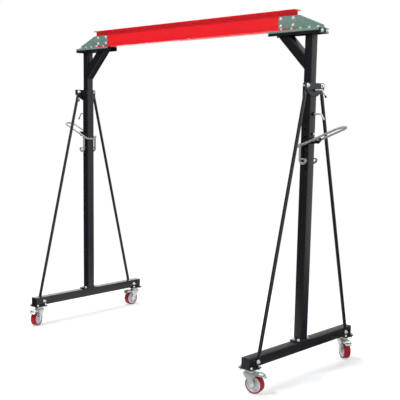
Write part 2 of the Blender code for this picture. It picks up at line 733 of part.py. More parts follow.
def pedal_pin():
    return CASTER_TRAIL + PEDAL_PIN_REACH, WHEEL_RADIUS + PEDAL_PIN_ABOVE


def build_pedal(name, swivel):
    """A bent plate over the tread, on a pin through the fork."""
    x, z = pedal_pin()
    half = PEDAL_THICK / 2
    outline = [(x + dx, z + dz + half) for dx, dz in PEDAL_SIDE]
    outline += [(x + dx, z + dz - half) for dx, dz in reversed(PEDAL_SIDE)]
    pedal = make_plate("brake_pedal_" + name, [outline], -PEDAL_HALF_WIDTH, PEDAL_HALF_WIDTH,
                       "Y", swivel)
    end = FORK_INNER + FORK_CHEEK + PEDAL_PIN_RADIUS / 2
    join(pedal, make_bar("pedal_pin_" + name, (x, -end, z), (x, end, z), PEDAL_PIN_RADIUS, 12, swivel))
    finish(pedal, zinc, (x, 0, z))


def make_empty(name, place, turn=0.0):
    made = add_object(name, None)
    made.location = place
    made.rotation_euler = (0, 0, turn)
    return made


def build_caster(side, sign, end, way):
    name = f"{side}_{end}"
    spot = (sign * POST_SPAN / 2, way * CASTER_Y, 0)
    swivel = make_empty("swivel_" + name, spot, CASTER_TURNS[side, end])
    hub = make_empty("caster_hub_" + name, spot)
    bpy.context.view_layer.update()
    build_caster_plate(name, hub)
    build_fork(name, swivel)
    build_axle(name, swivel)
    build_wheel(name, swivel)
    build_pedal(name, swivel)


# ---------------------------------------------------------------- the crane

def build_crane():
    build_beam()
    for side, sign in SIDES.items():
        build_base(side, sign)
        build_outer_post(side, sign)
        build_inner_post(side, sign)
        build_strut(side, sign)
        build_lever_bracket(side, sign)
        build_lever(side, sign)
        build_index_bolt(side, sign)
        for level, drop in SCREW_DROPS.items():
            build_clamp_screw(side, sign, level, drop)
        for end, way in ENDS.items():
            build_brace(side, sign, end, way)
            build_link(side, sign, end, way)
            build_saddle_angle(side, sign, end, way)
            build_gusset(side, sign, end, way)
            build_caster(side, sign, end, way)


clear_scene()
crane = new_collection("portable_gantry_crane")
tools = new_collection("cutters")
black_paint = make_material("black_paint", (0.022, 0.023, 0.027), 0.42, 0.0)
red_paint = make_material("red_paint", (0.80, 0.012, 0.018), 0.38, 0.0)
gusset_paint = make_material("gusset_paint", (0.19, 0.24, 0.22), 0.45, 0.3)
zinc = make_material("zinc_plate", (0.58, 0.63, 0.66), 0.32, 1.0)
core_white = make_material("core_white", (0.66, 0.72, 0.78), 0.40, 0.0)
red_tread = make_material("red_tread", (0.30, 0.012, 0.015), 0.50, 0.0)
build_crane()
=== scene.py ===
"""Looks of a portable gantry crane: a red rolled beam on two telescoping black side frames on casters.

Metres, +Z up. X runs along the beam and Y along the base rails; the near side is at -Y.
"""

from math import atan2, cos, hypot, pi, radians, sin, tan

import bmesh
import bpy
from mathutils import Matrix, Vector


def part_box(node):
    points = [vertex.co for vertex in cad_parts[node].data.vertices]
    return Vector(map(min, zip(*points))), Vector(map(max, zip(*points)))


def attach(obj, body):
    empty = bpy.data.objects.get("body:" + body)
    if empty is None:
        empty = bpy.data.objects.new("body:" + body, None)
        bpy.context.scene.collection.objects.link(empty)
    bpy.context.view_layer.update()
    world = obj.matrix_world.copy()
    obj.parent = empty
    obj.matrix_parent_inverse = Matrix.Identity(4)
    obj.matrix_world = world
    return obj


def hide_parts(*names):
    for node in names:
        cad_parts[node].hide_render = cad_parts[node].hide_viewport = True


bl_info = {
    "name": "Portable gantry crane",
    "version": (1, 0, 0),
    "blender": (4, 5, 0),
    "location": "3D View > Sidebar > Gantry",
    "description": "Builds the visible pieces of a portable gantry crane round its frame",
    "category": "Object",
}

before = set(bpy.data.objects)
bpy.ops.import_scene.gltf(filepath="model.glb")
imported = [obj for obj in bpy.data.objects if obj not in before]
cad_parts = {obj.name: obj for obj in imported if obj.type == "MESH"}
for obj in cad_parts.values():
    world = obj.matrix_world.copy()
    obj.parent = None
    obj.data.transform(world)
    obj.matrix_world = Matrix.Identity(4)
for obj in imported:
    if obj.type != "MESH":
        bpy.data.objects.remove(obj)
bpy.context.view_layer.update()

SIDES = {"right": 1, "left": -1}
ENDS = {"near": -1, "far": 1}
MERGE = 0.000001

# Places taken from the frame
BASE_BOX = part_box("base_tube_right")
POST_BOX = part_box("outer_post_right")
INNER_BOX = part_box("inner_post_right")
ANGLE_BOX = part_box("saddle_angle_right_far")
BEAM_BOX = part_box("beam")
GUSSET_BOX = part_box("gusset_right_far")
STRUT_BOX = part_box("strut_right")
PLATE_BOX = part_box("caster_plate_right_near")
POST_X = (BASE_BOX[0].x + BASE_BOX[1].x) / 2
POST_HIGH = POST_BOX[1].z
INNER_HIGH = INNER_BOX[1].z
INNER_HALF = (INNER_BOX[1].x - INNER_BOX[0].x) / 2
BEAM_LOW = BEAM_BOX[0].z
BEAM_HIGH = BEAM_BOX[1].z
BEAM_HALF = BEAM_BOX[1].x
ANGLE_HIGH = ANGLE_BOX[1].z
CASTER_TOP = PLATE_BOX[1].z
CASTER_Y = (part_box("caster_plate_right_far")[0].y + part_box("caster_plate_right_far")[1].y) / 2

# Sizes of the rolled and cut stock, as in the frame
HALF_TUBE = 0.035
TUBE_WALL = 0.0035
INNER_WALL = 0.004
FACE_X = POST_X + HALF_TUBE
MOUNT_X, MOUNT_Y, MOUNT_THICK = 0.115, 0.110, 0.008
BASE_HALF = 0.625
BASE_LOW = BASE_BOX[0].z + MOUNT_THICK
BASE_HIGH = BASE_BOX[1].z
FOOT_X, FOOT_Y, FOOT_THICK = 0.088, 0.148, 0.008
POST_LOW = POST_BOX[0].z + FOOT_THICK
COLLAR_WIDTH, COLLAR_EDGE, COLLAR_DEPTH, COLLAR_THICK = 0.230, 0.042, 0.090, 0.008
BRACE_RADIUS, BRACE_FLAT, BRACE_FLAT_WIDTH = 0.0125, 0.005, 0.030
BRACE_TOP = (0.085, POST_HIGH - 0.018)
BRACE_FOOT = (0.540, (BASE_LOW + BASE_HIGH) / 2)
SEAT_GAP = 0.0003
HOLE_RADIUS, HOLE_PITCH, HOLE_COUNT = 0.007, 0.051, 6
TOP_HOLE = POST_HIGH - 0.262
SCREW_RADIUS, SCREW_REACH = 0.0055, 0.066
HANDLE_REACH, HANDLE_DROP = 0.034, 0.052
SCREW_LEVELS = {"upper": POST_HIGH - 0.048, "lower": POST_HIGH - 0.209}
BOSS_RADIUS, BOSS_LENGTH = 0.0129, 0.014
INDEX_Z = POST_HIGH - 0.345
ROD_RADIUS = 0.0078
LEVER_ANGLE = radians(22.5)
LEVER_HALF, LEVER_INNER, LEVER_OUTER, LEVER_CORNER = 0.050, 0.12988, 0.234, 0.015
FULCRUM = (FACE_X + 0.0375, POST_HIGH - 0.384)
CHEEK_HALF_GAP, CHEEK_THICK, CHEEK_REACH = 0.026, 0.006, 0.056
CHEEK_LOW, CHEEK_HIGH = 0.027, 0.014
LINK_ARM, LINK_SIDE, LINK_LENGTH, HOOK_RADIUS = 0.0952, 0.066, 0.101, 0.025
LINK_PIN = 0.005
ANGLE_WIDTH, ANGLE_DEPTH, ANGLE_THICK, ANGLE_SPLIT = 0.052, 0.034, 0.005, 0.003
STRUT_ANGLE, STRUT_DROP = radians(44.5), 0.2085
BEAM_WEB, BEAM_FLANGE = 0.0047, 0.0069
GUSSET_THICK = 0.006
WHEEL_RADIUS, TRAIL = 0.0625, 0.040
RIM_RADIUS, TREAD_HALF, CORE_HALF = 0.053, 0.025, 0.022
FORK_INNER, FORK_CHEEK = 0.0315, 0.004
CROWN_LOW, CROWN_HIGH = 0.1355, 0.1415
RIVETS, RIVET_RING = 8, 0.0365
TREAD_ROUND = 0.0045

# Camera, in metres and radians, and the angle between the edges of a studio card in degrees
CAMERA_PLACE = (4.2791, -4.5513, 1.8105)
CAMERA_YAW, CAMERA_PITCH, CAMERA_ROLL = -0.7936, -0.1457, 0.0082
CAMERA_LENS, CAMERA_SHIFT = 69.83, (0.12, 0.08)
CARD_STEP = 8
AXLE_RADIUS = 0.006
PEDAL_PIN = (TRAIL + 0.010, WHEEL_RADIUS + 0.0695)
CASTER_TURNS = {("right", "near"): 10, ("right", "far"): -37, ("left", "near"): -66, ("left", "far"): -91}


# ---------------------------------------------------------------- colours and sizes a user would change

def linear(hex_colour):
    """An sRGB hex colour as linear red, green and blue."""
    channels = [int(hex_colour[i:i + 2], 16) / 255 for i in (1, 3, 5)]
    return tuple(c / 12.92 if c <= 0.04045 else ((c + 0.055) / 1.055) ** 2.4 for c in channels)


def colour_property(name, text, default):
    return bpy.props.FloatVectorProperty(name=name, description=text, subtype="COLOR", size=3,
                                         min=0.0, max=1.0, default=linear(default))


def length_property(name, text, default):
    return bpy.props.FloatProperty(name=name, description=text, subtype="DISTANCE", unit="LENGTH",
                                   min=0.0, default=default)


class GantryColours(bpy.types.PropertyGroup):
    frame_paint: colour_property("Frame paint", "Powder coat of the side frames and saddles", "#131319")
    beam_paint: colour_property("Beam paint", "Enamel of the rolled beam", "#E0101C")
    gusset_plate: colour_property("Gusset plate", "Phosphated plate of the gussets", "#78938A")
    zinc: colour_property("Zinc", "Bright zinc plate of the casters, handles and bolts", "#BCC6C3")
    rod: colour_property("Rod", "Dull zinc of the lifting levers and hooks", "#8F8E8C")
    tread: colour_property("Tread", "Cast polyurethane of the wheel treads", "#960A10")
    wheel_core: colour_property("Wheel core", "Moulded nylon of the wheel cores", "#BBBBC2")
    seal: colour_property("Swivel seal", "Moulded ring round the swivel race", "#EE8A66")
    grip: colour_property("Dipped tip", "Vinyl dip on the clamp handles", "#0E0E10")
    floor: colour_property("Floor", "Studio floor", "#F4F4F4")


class GantrySizes(bpy.types.PropertyGroup):
    tube_corner: length_property("Tube corner", "Outside corner radius of the square tubes", 0.0050)
    plate_corner: length_property("Plate corner", "Corner radius of the cut plates", 0.006)
    plate_edge: length_property("Plate edge", "Softening of the cut plates' edges", 0.0009)
    beam_fillet: length_property("Beam fillet", "Root fillet of the rolled beam", 0.0070)
    bead_radius: length_property("Weld bead", "Radius of a weld bead's ripples", 0.0023)
    bead_pitch: length_property("Weld pitch", "Spacing of a weld bead's ripples", 0.0026)
    bolt_flats: length_property("Bolt flats", "Distance across a bolt head's flats", 0.017)
    thread_pitch: length_property("Thread pitch", "Pitch of the clamp screws' threads", 0.0020)


def colours():
    return bpy.context.scene.gantry_colours


def sizes():
    return bpy.context.scene.gantry_sizes


# ---------------------------------------------------------------- outlines, paths and skins

def rounded(points, radii, steps=4):
    """A closed outline of (a, b) points with its corners rounded."""
    made = []
    for index, spot in enumerate(points):
        radius = radii[index] if isinstance(radii, (list, tuple)) else radii
        corner = Vector(spot)
        before = Vector(points[index - 1]) - corner
        after = Vector(points[(index + 1) % len(points)]) - corner
        half = before.angle(after) / 2
        if radius <= 0 or half > pi / 2 - 0.01:
            made.append(tuple(corner))
            continue
        back = min(radius / tan(half), before.length * 0.49, after.length * 0.49)
        reach = back * tan(half)
        middle = corner + (before.normalized() + after.normalized()).normalized() * (reach / sin(half))
        first = corner + before.normalized() * back - middle
        last = corner + after.normalized() * back - middle
        start = atan2(first.y, first.x)
        turn = (atan2(last.y, last.x) - start + pi) % (2 * pi) - pi
        for step in range(steps + 1):
            angle = start + turn * step / steps
            made.append((middle.x + reach * cos(angle), middle.y + reach * sin(angle)))
    return made


def rectangle(half_a, half_b, middle=(0, 0)):
    a, b = middle
    return [(a - half_a, b - half_b), (a + half_a, b - half_b), (a + half_a, b + half_b),
            (a - half_a, b + half_b)]


def arc(centre, radius, start, end, steps):
    angles = [start + (end - start) * step / steps for step in range(steps + 1)]
    return [(centre[0] + radius * cos(a), centre[1] + radius * sin(a)) for a in angles]


def add_skin(bm, rings, loop=False, caps=True):
    """Join rings of points into a skin; a loop joins the last ring to the first."""
    rows = [[bm.verts.new(point) for point in ring] for ring in rings]
    count = len(rows[0])
    pairs = zip(rows, rows[1:] + rows[:1]) if loop else zip(rows, rows[1:])
    for low, high in pairs:
        for index in range(count):
            after = (index + 1) % count
            bm.faces.new((low[index], low[after], high[after], high[index]))
    if caps and not loop:
        bm.faces.new(rows[0][::-1])
        bm.faces.new(rows[-1])


PLANES = {"X": lambda a, b, along: (along, a, b), "Y": lambda a, b, along: (a, along, b),
          "Z": lambda a, b, along: (a, b, along)}


def add_prism(bm, outline, start, end, axis):
    """A solid with one outline; (a, b) are the two other axes in order."""
    put = PLANES[axis]
    add_skin(bm, [[put(a, b, along) for a, b in outline] for along in (start, end)])


def add_tube(bm, outer, inner, start, end, axis):
    """An open tube with a wall between two outlines of the same count."""
    put = PLANES[axis]
    rings = [(outer, start), (outer, end), (inner, end), (inner, start)]
    add_skin(bm, [[put(a, b, along) for a, b in ring] for ring, along in rings], loop=True)


def add_turned(bm, profile, place, steps=24, loop=False):
    """A profile of (radius, height) points turned about the place's own Z axis."""
    rings = []
    for radius, height in profile:
        angles = [2 * pi * step / steps for step in range(steps)]
        rings.append([place @ Vector((radius * cos(a), radius * sin(a), height)) for a in angles])
    add_skin(bm, rings, loop=loop, caps=False)


def upright(spot, outward):
    """A place whose Z axis points outward."""
    turn = Vector((0, 0, 1)).rotation_difference(Vector(outward)).to_matrix().to_4x4()
    return Matrix.Translation(Vector(spot)) @ turn


def add_rod(bm, path, radius, sides=14, loop=False, soft=0.0):
    """A round rod along a path; soft is the chamfer of its two ends."""
    path = [Vector(point) for point in path]
    if soft and not loop:
        first = (path[1] - path[0]).normalized() * soft
        last = (path[-2] - path[-1]).normalized() * soft
        path = [path[0], path[0] + first] + path[1:-1] + [path[-1] + last, path[-1]]
    count = len(path)
    normal = None
    rings = []
    for index, spot in enumerate(path):
        before = path[index - 1] if index or loop else spot
        after = path[(index + 1) % count] if index < count - 1 or loop else spot
        ahead = (after - before).normalized()
        if normal is None:
            normal = ahead.orthogonal().normalized()
        normal = (normal - ahead * normal.dot(ahead)).normalized()
        across = ahead.cross(normal)
        reach = radius - soft if soft and index in (0, count - 1) else radius
        angles = [2 * pi * step / sides for step in range(sides)]
        rings.append([spot + normal * reach * cos(a) + across * reach * sin(a) for a in angles])
    add_skin(bm, rings, loop=loop)


def bend(corner, before, after, radius, steps=6):
    """Points of an arc that rounds a corner between two directions out of it."""
    corner, before, after = Vector(corner), Vector(before).normalized(), Vector(after).normalized()
    half = before.angle(after) / 2
    back = radius / tan(half)
    middle = corner + (before + after).normalized() * (radius / sin(half))
    first = (corner + before * back - middle).normalized()
    last = (corner + after * back - middle).normalized()
    return [middle + first.slerp(last, step / steps) * radius for step in range(steps + 1)]


# ---------------------------------------------------------------- pieces

def mesh_of(bm, name):
    bmesh.ops.remove_doubles(bm, verts=bm.verts, dist=MERGE)
    bmesh.ops.recalc_face_normals(bm, faces=bm.faces)
    mesh = bpy.data.meshes.new(name)
    bm.to_mesh(mesh)
    bm.free()
    return mesh


def new_object(name, data):
    made = bpy.data.objects.new(name, data)
    bpy.context.scene.collection.objects.link(made)
    return made


def settle(piece):
    """Turn a piece's modifiers into its plain mesh."""
    view = bpy.context.evaluated_depsgraph_get()
    view.update()
    mesh = bpy.data.meshes.new_from_object(piece.evaluated_get(view), preserve_all_data_layers=True,
                                           depsgraph=view)
    piece.modifiers.clear()
    piece.data = mesh


def carve(piece, cutter, operation="DIFFERENCE"):
    """Cut a closed shape out of a piece, or keep only what they share."""
    tool = new_object("tool", mesh_of(cutter, "tool"))
    change = piece.modifiers.new("carve", "BOOLEAN")
    change.operation = operation
    change.object = tool
    change.solver = "EXACT"
    settle(piece)
    bpy.data.objects.remove(tool, do_unlink=True)


def soften(piece, width, segments=2):
    edge = piece.modifiers.new("edge", "BEVEL")
    edge.width = width
    edge.segments = segments
    edge.limit_method = "ANGLE"
    edge.angle_limit = radians(38)
    edge.harden_normals = True
    piece.data.shade_smooth()
    settle(piece)


def piece_of(name, bm, body, material, stands_for=(), edge=0.0, crease=32, cutters=()):
    """A finished piece: closed, in place, riding on its body."""
    piece = new_object(name, mesh_of(bm, name))
    for cutter in cutters:
        carve(piece, cutter)
    if edge:
        soften(piece, edge)
    return dress(piece, body, material, stands_for, 0 if edge else crease)


def dress(piece, body, material, stands_for=(), crease=0):
    piece.data.materials.clear()
    piece.data.materials.append(material)
    if crease:
        piece.data.shade_smooth()
        piece.data.set_sharp_from_angle(angle=radians(crease))
    piece.data.name = piece.name
    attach(piece, body)
    if stands_for:
        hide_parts(*stands_for)
    return piece


# ---------------------------------------------------------------- node trees

def node(tree, kind, settings=None, links=None):
    """Add a node with its settings and links; inputs are named with a capital or by number."""
    made = tree.nodes.new(kind)
    for key, value in (settings or {}).items():
        if isinstance(key, int) or key[0].isupper():
            made.inputs[key].default_value = value
        else:
            setattr(made, key, value)
    for key, source in (links or {}).items():
        tree.links.new(source, made.inputs[key])
    return made


def new_growth(name, inputs):
    """An empty Geometry Nodes tree with named inputs."""
    tree = bpy.data.node_groups.new(name, "GeometryNodeTree")
    tree.interface.new_socket(name="Geometry", in_out="INPUT", socket_type="NodeSocketGeometry")
    for label, kind in inputs:
        tree.interface.new_socket(name=label, in_out="INPUT", socket_type=kind)
    tree.interface.new_socket(name="Geometry", in_out="OUTPUT", socket_type="NodeSocketGeometry")
    return tree, tree.nodes.new("NodeGroupInput"), tree.nodes.new("NodeGroupOutput")


def grow(piece, tree, values):
    """Run a tree on a piece's mesh and keep the result as a plain mesh."""
    change = piece.modifiers.new("grow", "NODES")
    change.node_group = tree
    for item in tree.interface.items_tree:
        if item.item_type == "SOCKET" and item.in_out == "INPUT" and item.name in values:
            change[item.identifier] = values[item.name]
    settle(piece)


def painted(tree, start, end, copies):
    """Ends a growth: makes its copies real and gives them the growth's material."""
    real = node(tree, "GeometryNodeRealizeInstances", {}, {"Geometry": copies.outputs["Instances"]})
    paint = node(tree, "GeometryNodeSetMaterial", {}, {"Geometry": real.outputs["Geometry"],
                                                      "Material": start.outputs["Material"]})
    tree.links.new(paint.outputs["Geometry"], end.inputs["Geometry"])
    return tree


def fastener_growth():
    """Sets a copy of one bolt on every point, turned outward and clocked by chance."""
    name = "bolts on points"
    if name in bpy.data.node_groups:
        return bpy.data.node_groups[name]
    tree, start, end = new_growth(name, [("Bolt", "NodeSocketObject"), ("Seed", "NodeSocketInt"),
                                         ("Material", "NodeSocketMaterial")])
    bolt = node(tree, "GeometryNodeObjectInfo", {}, {"Object": start.outputs["Bolt"]})
    outward = node(tree, "GeometryNodeInputNamedAttribute", {"data_type": "FLOAT_VECTOR", "Name": "outward"})
    stand = node(tree, "FunctionNodeAlignRotationToVector", {"axis": "Z"},
                 {"Vector": outward.outputs["Attribute"]})
    clock = node(tree, "FunctionNodeRandomValue", {"data_type": "FLOAT", 2: 0.0, 3: 2 * pi},
                 {"Seed": start.outputs["Seed"]})
    spin = node(tree, "ShaderNodeCombineXYZ", {}, {"Z": clock.outputs[1]})
    turned = node(tree, "FunctionNodeRotateRotation", {"rotation_space": "LOCAL"},
                  {"Rotation": stand.outputs["Rotation"], "Rotate By": spin.outputs["Vector"]})
    copies = node(tree, "GeometryNodeInstanceOnPoints", {},
                  {"Points": start.outputs["Geometry"], "Instance": bolt.outputs["Geometry"],
                   "Rotation": turned.outputs["Rotation"]})
    return painted(tree, start, end, copies)


def weld_growth():
    """Lays overlapping ripples of weld metal along every line."""
    name = "weld beads"
    if name in bpy.data.node_groups:
        return bpy.data.node_groups[name]
    tree, start, end = new_growth(name, [("Radius", "NodeSocketFloat"), ("Pitch", "NodeSocketFloat"),
                                         ("Material", "NodeSocketMaterial")])
    line = node(tree, "GeometryNodeMeshToCurve", {}, {"Mesh": start.outputs["Geometry"]})
    spaced = node(tree, "GeometryNodeResampleCurve", {"mode": "LENGTH"},
                  {"Curve": line.outputs["Curve"], "Length": start.outputs["Pitch"]})
    drop = node(tree, "GeometryNodeMeshIcoSphere", {"Subdivisions": 2}, {"Radius": start.outputs["Radius"]})
    smooth = node(tree, "GeometryNodeSetShadeSmooth", {}, {"Geometry": drop.outputs["Mesh"]})
    wobble = node(tree, "FunctionNodeRandomValue", {"data_type": "FLOAT", 2: 0.85, 3: 1.1, "Seed": 7})
    beads = node(tree, "GeometryNodeInstanceOnPoints", {},
                 {"Points": spaced.outputs["Curve"], "Instance": smooth.outputs["Geometry"],
                  "Scale": wobble.outputs[1]})
    return painted(tree, start, end, beads)


def add_fasteners(name, bolt, spots, body, material, seed):
    """One piece of like bolts; spots are (point, outward) pairs."""
    mesh = bpy.data.meshes.new(name)
    mesh.from_pydata([tuple(point) for point, outward in spots], [], [])
    aim = mesh.attributes.new("outward", "FLOAT_VECTOR", "POINT")
    for value, (point, outward) in zip(aim.data, spots):
        value.vector = outward
    piece = new_object(name, mesh)
    grow(piece, fastener_growth(), {"Bolt": bolt, "Seed": seed, "Material": material})
    bpy.data.objects.remove(bolt, do_unlink=True)
    return dress(piece, body, material)


def add_welds(name, lines, body, material):
    """Weld beads along lists of points."""
    bm = bmesh.new()
    for line in lines:
        spots = [bm.verts.new(point) for point in line]
        for first, second in zip(spots, spots[1:]):
            bm.edges.new((first, second))
    mesh = bpy.data.meshes.new(name)
    bm.to_mesh(mesh)
    bm.free()
    piece = new_object(name, mesh)
    grow(piece, weld_growth(), {"Radius": sizes().bead_radius, "Pitch": sizes().bead_pitch,
                                "Material": material})
    return dress(piece, body, material)


# ---------------------------------------------------------------- materials

def surface(name, colour, metallic, roughness, cloud=0.06, cloud_scale=9.0, grain=0.0010, bump=0.00004,
            specular=0.5, coat=0.0):
    """A finish with cloudy colour and gloss and a fine bump of real grain size, all on Object coordinates."""
    material = bpy.data.materials.get(name)
    if material:
        return material
    material = bpy.data.materials.new(name)
    material.use_nodes = True
    tree = material.node_tree
    shader = tree.nodes["Principled BSDF"]
    shader.inputs["Metallic"].default_value = metallic
    shader.inputs["Specular IOR Level"].default_value = specular
    shader.inputs["Coat Weight"].default_value = coat
    shader.inputs["Coat Roughness"].default_value = 0.12
    place = node(tree, "ShaderNodeTexCoord").outputs["Object"]
    clouds = node(tree, "ShaderNodeTexNoise", {"Scale": cloud_scale, "Detail": 4.0, "Roughness": 0.6},
                  {"Vector": place})
    dark = tuple(c * (1 - 2 * cloud) for c in colour)
    light = tuple(min(1.0, c * (1 + 2 * cloud)) for c in colour)
    tint = node(tree, "ShaderNodeMix", {"data_type": "RGBA", 6: (*dark, 1.0), 7: (*light, 1.0)},
                {0: clouds.outputs["Fac"]})
    tree.links.new(tint.outputs[2], shader.inputs["Base Color"])
    marks = node(tree, "ShaderNodeTexNoise", {"Scale": cloud_scale * 4, "Detail": 6.0, "Roughness": 0.7},
                 {"Vector": place})
    gloss = node(tree, "ShaderNodeMapRange", {"From Min": 0.3, "From Max": 0.7,
                                              "To Min": roughness * 0.85, "To Max": roughness * 1.2},
                 {"Value": marks.outputs["Fac"]})
    tree.links.new(gloss.outputs["Result"], shader.inputs["Roughness"])
    skin = node(tree, "ShaderNodeTexNoise", {"Scale": 1 / grain, "Detail": 3.0}, {"Vector": place})
    relief = node(tree, "ShaderNodeBump", {"Strength": 0.6, "Distance": bump},
                  {"Height": skin.outputs["Fac"]})
    tree.links.new(relief.outputs["Normal"], shader.inputs["Normal"])
    return material


def frame_paint():
    # Powder coat, sprayed and baked on steel tube: near black, half gloss, a fine orange peel.
    return surface("black powder coat, baked", colours().frame_paint, 0.0, 0.33, cloud=0.08,
                   grain=0.0014, bump=0.00006, specular=0.40)


def beam_paint():
    # Enamel sprayed over a rolled section: strong red, fairly glossy, long soft waves of the rolling.
    return surface("red enamel on rolled steel", colours().beam_paint, 0.0, 0.34, cloud=0.03,
                   cloud_scale=5.0, grain=0.0030, bump=0.00008, coat=0.15)


def gusset_plate():
    # Phosphated cut plate: grey-green, dull metal, crystals about 3 mm across that break the gloss.
    # The same grey-green plate is also laid along the saddles' tops as a painted highlight.
    return surface("zinc phosphate on cut plate", colours().gusset_plate, 0.35, 0.48, cloud=0.14,
                   cloud_scale=38.0, grain=0.0030, bump=0.00003)


def zinc_plate():
    # Bright zinc plated on pressed steel: pale blue-grey metal with a faint grain.
    return surface("bright zinc plate, pressed", colours().zinc, 0.62, 0.38, cloud=0.07, cloud_scale=30.0,
                   grain=0.0008, bump=0.00002)


def rod_zinc():
    # Dull zinc on bent round rods: satin grey, hardly a mirror.
    return surface("dull zinc on bent rod", colours().rod, 0.25, 0.48, cloud=0.06, cloud_scale=40.0,
                   grain=0.0008, bump=0.00002)


def bolt_zinc():
    # Bright zinc plated on forged bolts: the same metal, a little whiter where the tumbling polished it.
    return surface("bright zinc plate, tumbled", tuple(min(1.0, c * 1.3) for c in colours().zinc), 0.35,
                   0.30, cloud=0.05, cloud_scale=60.0, grain=0.0006, bump=0.00001)


def weld_metal():
    # Weld metal under powder coat: the frame's own black over ripples.
    return surface("powder coat over weld", colours().frame_paint, 0.0, 0.34, cloud=0.12,
                   cloud_scale=60.0, grain=0.0008, bump=0.00004, specular=0.45)


def tread_rubber():
    # Cast polyurethane: deep red, satin, with fine scuffs.
    return surface("cast polyurethane", colours().tread, 0.0, 0.46, cloud=0.08, cloud_scale=45.0,
                   grain=0.0009, bump=0.00005, specular=0.25)


def core_nylon():
    # Moulded nylon: cool off-white, soft gloss.
    return surface("moulded nylon", colours().wheel_core, 0.0, 0.36, cloud=0.03, cloud_scale=30.0,
                   grain=0.0009, bump=0.00003)


def seal_plastic():
    # Moulded soft plastic: salmon, matt.
    return surface("moulded seal plastic", colours().seal, 0.0, 0.50, cloud=0.04, cloud_scale=40.0)


def vinyl_dip():
    # Dipped vinyl: black, thick and softly shiny.
    return surface("dipped vinyl", colours().grip, 0.0, 0.42, cloud=0.05, cloud_scale=80.0, grain=0.0007)


# ---------------------------------------------------------------- fasteners to copy

def hexagon(flats, turn=0.0):
    reach = flats / 2 / cos(pi / 6)
    return [(reach * cos(turn + pi / 3 * k), reach * sin(turn + pi / 3 * k)) for k in range(6)]


def add_hexagon(bm, flats, low, high, place):
    """A hexagon nut or head with a chamfered top."""
    rings = []
    for share, height in ((1.0, low), (1.0, high - flats * 0.07), (0.90, high)):
        rings.append([place @ Vector((a * share, b * share, height)) for a, b in hexagon(flats)])
    add_skin(bm, rings)


def bolt_head(name, flats, washer, thick=0.0018, stub=0.0):
    """A washer and a hexagon head, or a nut with the end of its bolt showing."""
    bm = bmesh.new()
    place = Matrix.Identity(4)
    disc = [(0, -0.0002), (washer, -0.0002), (washer, thick * 0.8), (washer * 0.95, thick), (0, thick)]
    add_turned(bm, disc, place, 24)
    add_hexagon(bm, flats, thick * 0.9, thick + flats * 0.62, place)
    if stub:
        top = thick + flats * 0.62
        reach = flats * 0.29
        add_turned(bm, [(0, top - 0.001), (reach, top - 0.001), (reach, top + stub - 0.001),
                        (reach * 0.8, top + stub), (0, top + stub)], place, 12)
    return template(name, bm)


def dome_head(name, radius, height):
    """A domed bolt head on a thin washer."""
    bm = bmesh.new()
    dome = [(radius * cos(a), 0.0012 + height * sin(a))
            for a in (0, pi / 10, pi / 5, 3 * pi / 10, 2 * pi / 5)]
    washer = [(0, -0.0002), (radius * 1.25, -0.0002), (radius * 1.25, 0.0012)]
    profile = washer + dome + [(0, height + 0.0012)]
    add_turned(bm, profile, Matrix.Identity(4), 20)
    return template(name, bm)


def template(name, bm):
    made = new_object(name, mesh_of(bm, name))
    made.data.shade_smooth()
    made.data.set_sharp_from_angle(angle=radians(35))
    return made


# ---------------------------------------------------------------- beam and head

def build_beam():
    """The rolled section with its root fillets and softened toes."""
    half, web = BEAM_BOX[1].y, BEAM_WEB / 2
    low, high = BEAM_LOW + BEAM_FLANGE, BEAM_HIGH - BEAM_FLANGE
    outline = [(-half, BEAM_LOW), (half, BEAM_LOW), (half, low), (web, low), (web, high), (half, high),
               (half, BEAM_HIGH), (-half, BEAM_HIGH), (-half, high), (-web, high), (-web, low), (-half, low)]
    fillet, toe, edge = sizes().beam_fillet, 0.0035, 0.0008
    radii = [edge, edge, toe, fillet, fillet, toe, edge, edge, toe, fillet, fillet, toe]
    bm = bmesh.new()
    add_prism(bm, rounded(outline, radii, 6), -BEAM_HALF, BEAM_HALF, "X")
    piece_of("rolled_beam", bm, "head", beam_paint(), ["beam"], crease=40)


def build_upper_legs():
    """The telescoping legs, their struts and the welds that hold them to the saddles."""
    for side, sign in SIDES.items():
        x = sign * POST_X
        corner = sizes().tube_corner
        outer = rounded(rectangle(INNER_HALF, INNER_HALF, (x, 0)), corner)
        inner = rounded(rectangle(INNER_HALF - INNER_WALL, INNER_HALF - INNER_WALL, (x, 0)), corner / 2)
        bm = bmesh.new()
        add_tube(bm, outer, inner, INNER_BOX[0].z, INNER_HIGH, "Z")
        holes = int((TOP_HOLE - INNER_BOX[0].z - 2 * HOLE_RADIUS) / HOLE_PITCH) + 1
        piece_of("upper_leg_" + side, bm, "head", frame_paint(), ["inner_post_" + side],
                 cutters=[hole_row(x, TOP_HOLE, holes)])
        build_strut(side, sign)


def hole_row(x, highest, count):
    bm = bmesh.new()
    for number in range(count):
        middle = (x, 0, highest - number * HOLE_PITCH)
        add_turned(bm, [(0, -0.1), (HOLE_RADIUS, -0.1), (HOLE_RADIUS, 0.1), (0, 0.1)],
                   upright(middle, (0, 1, 0)), 20)
    return bm


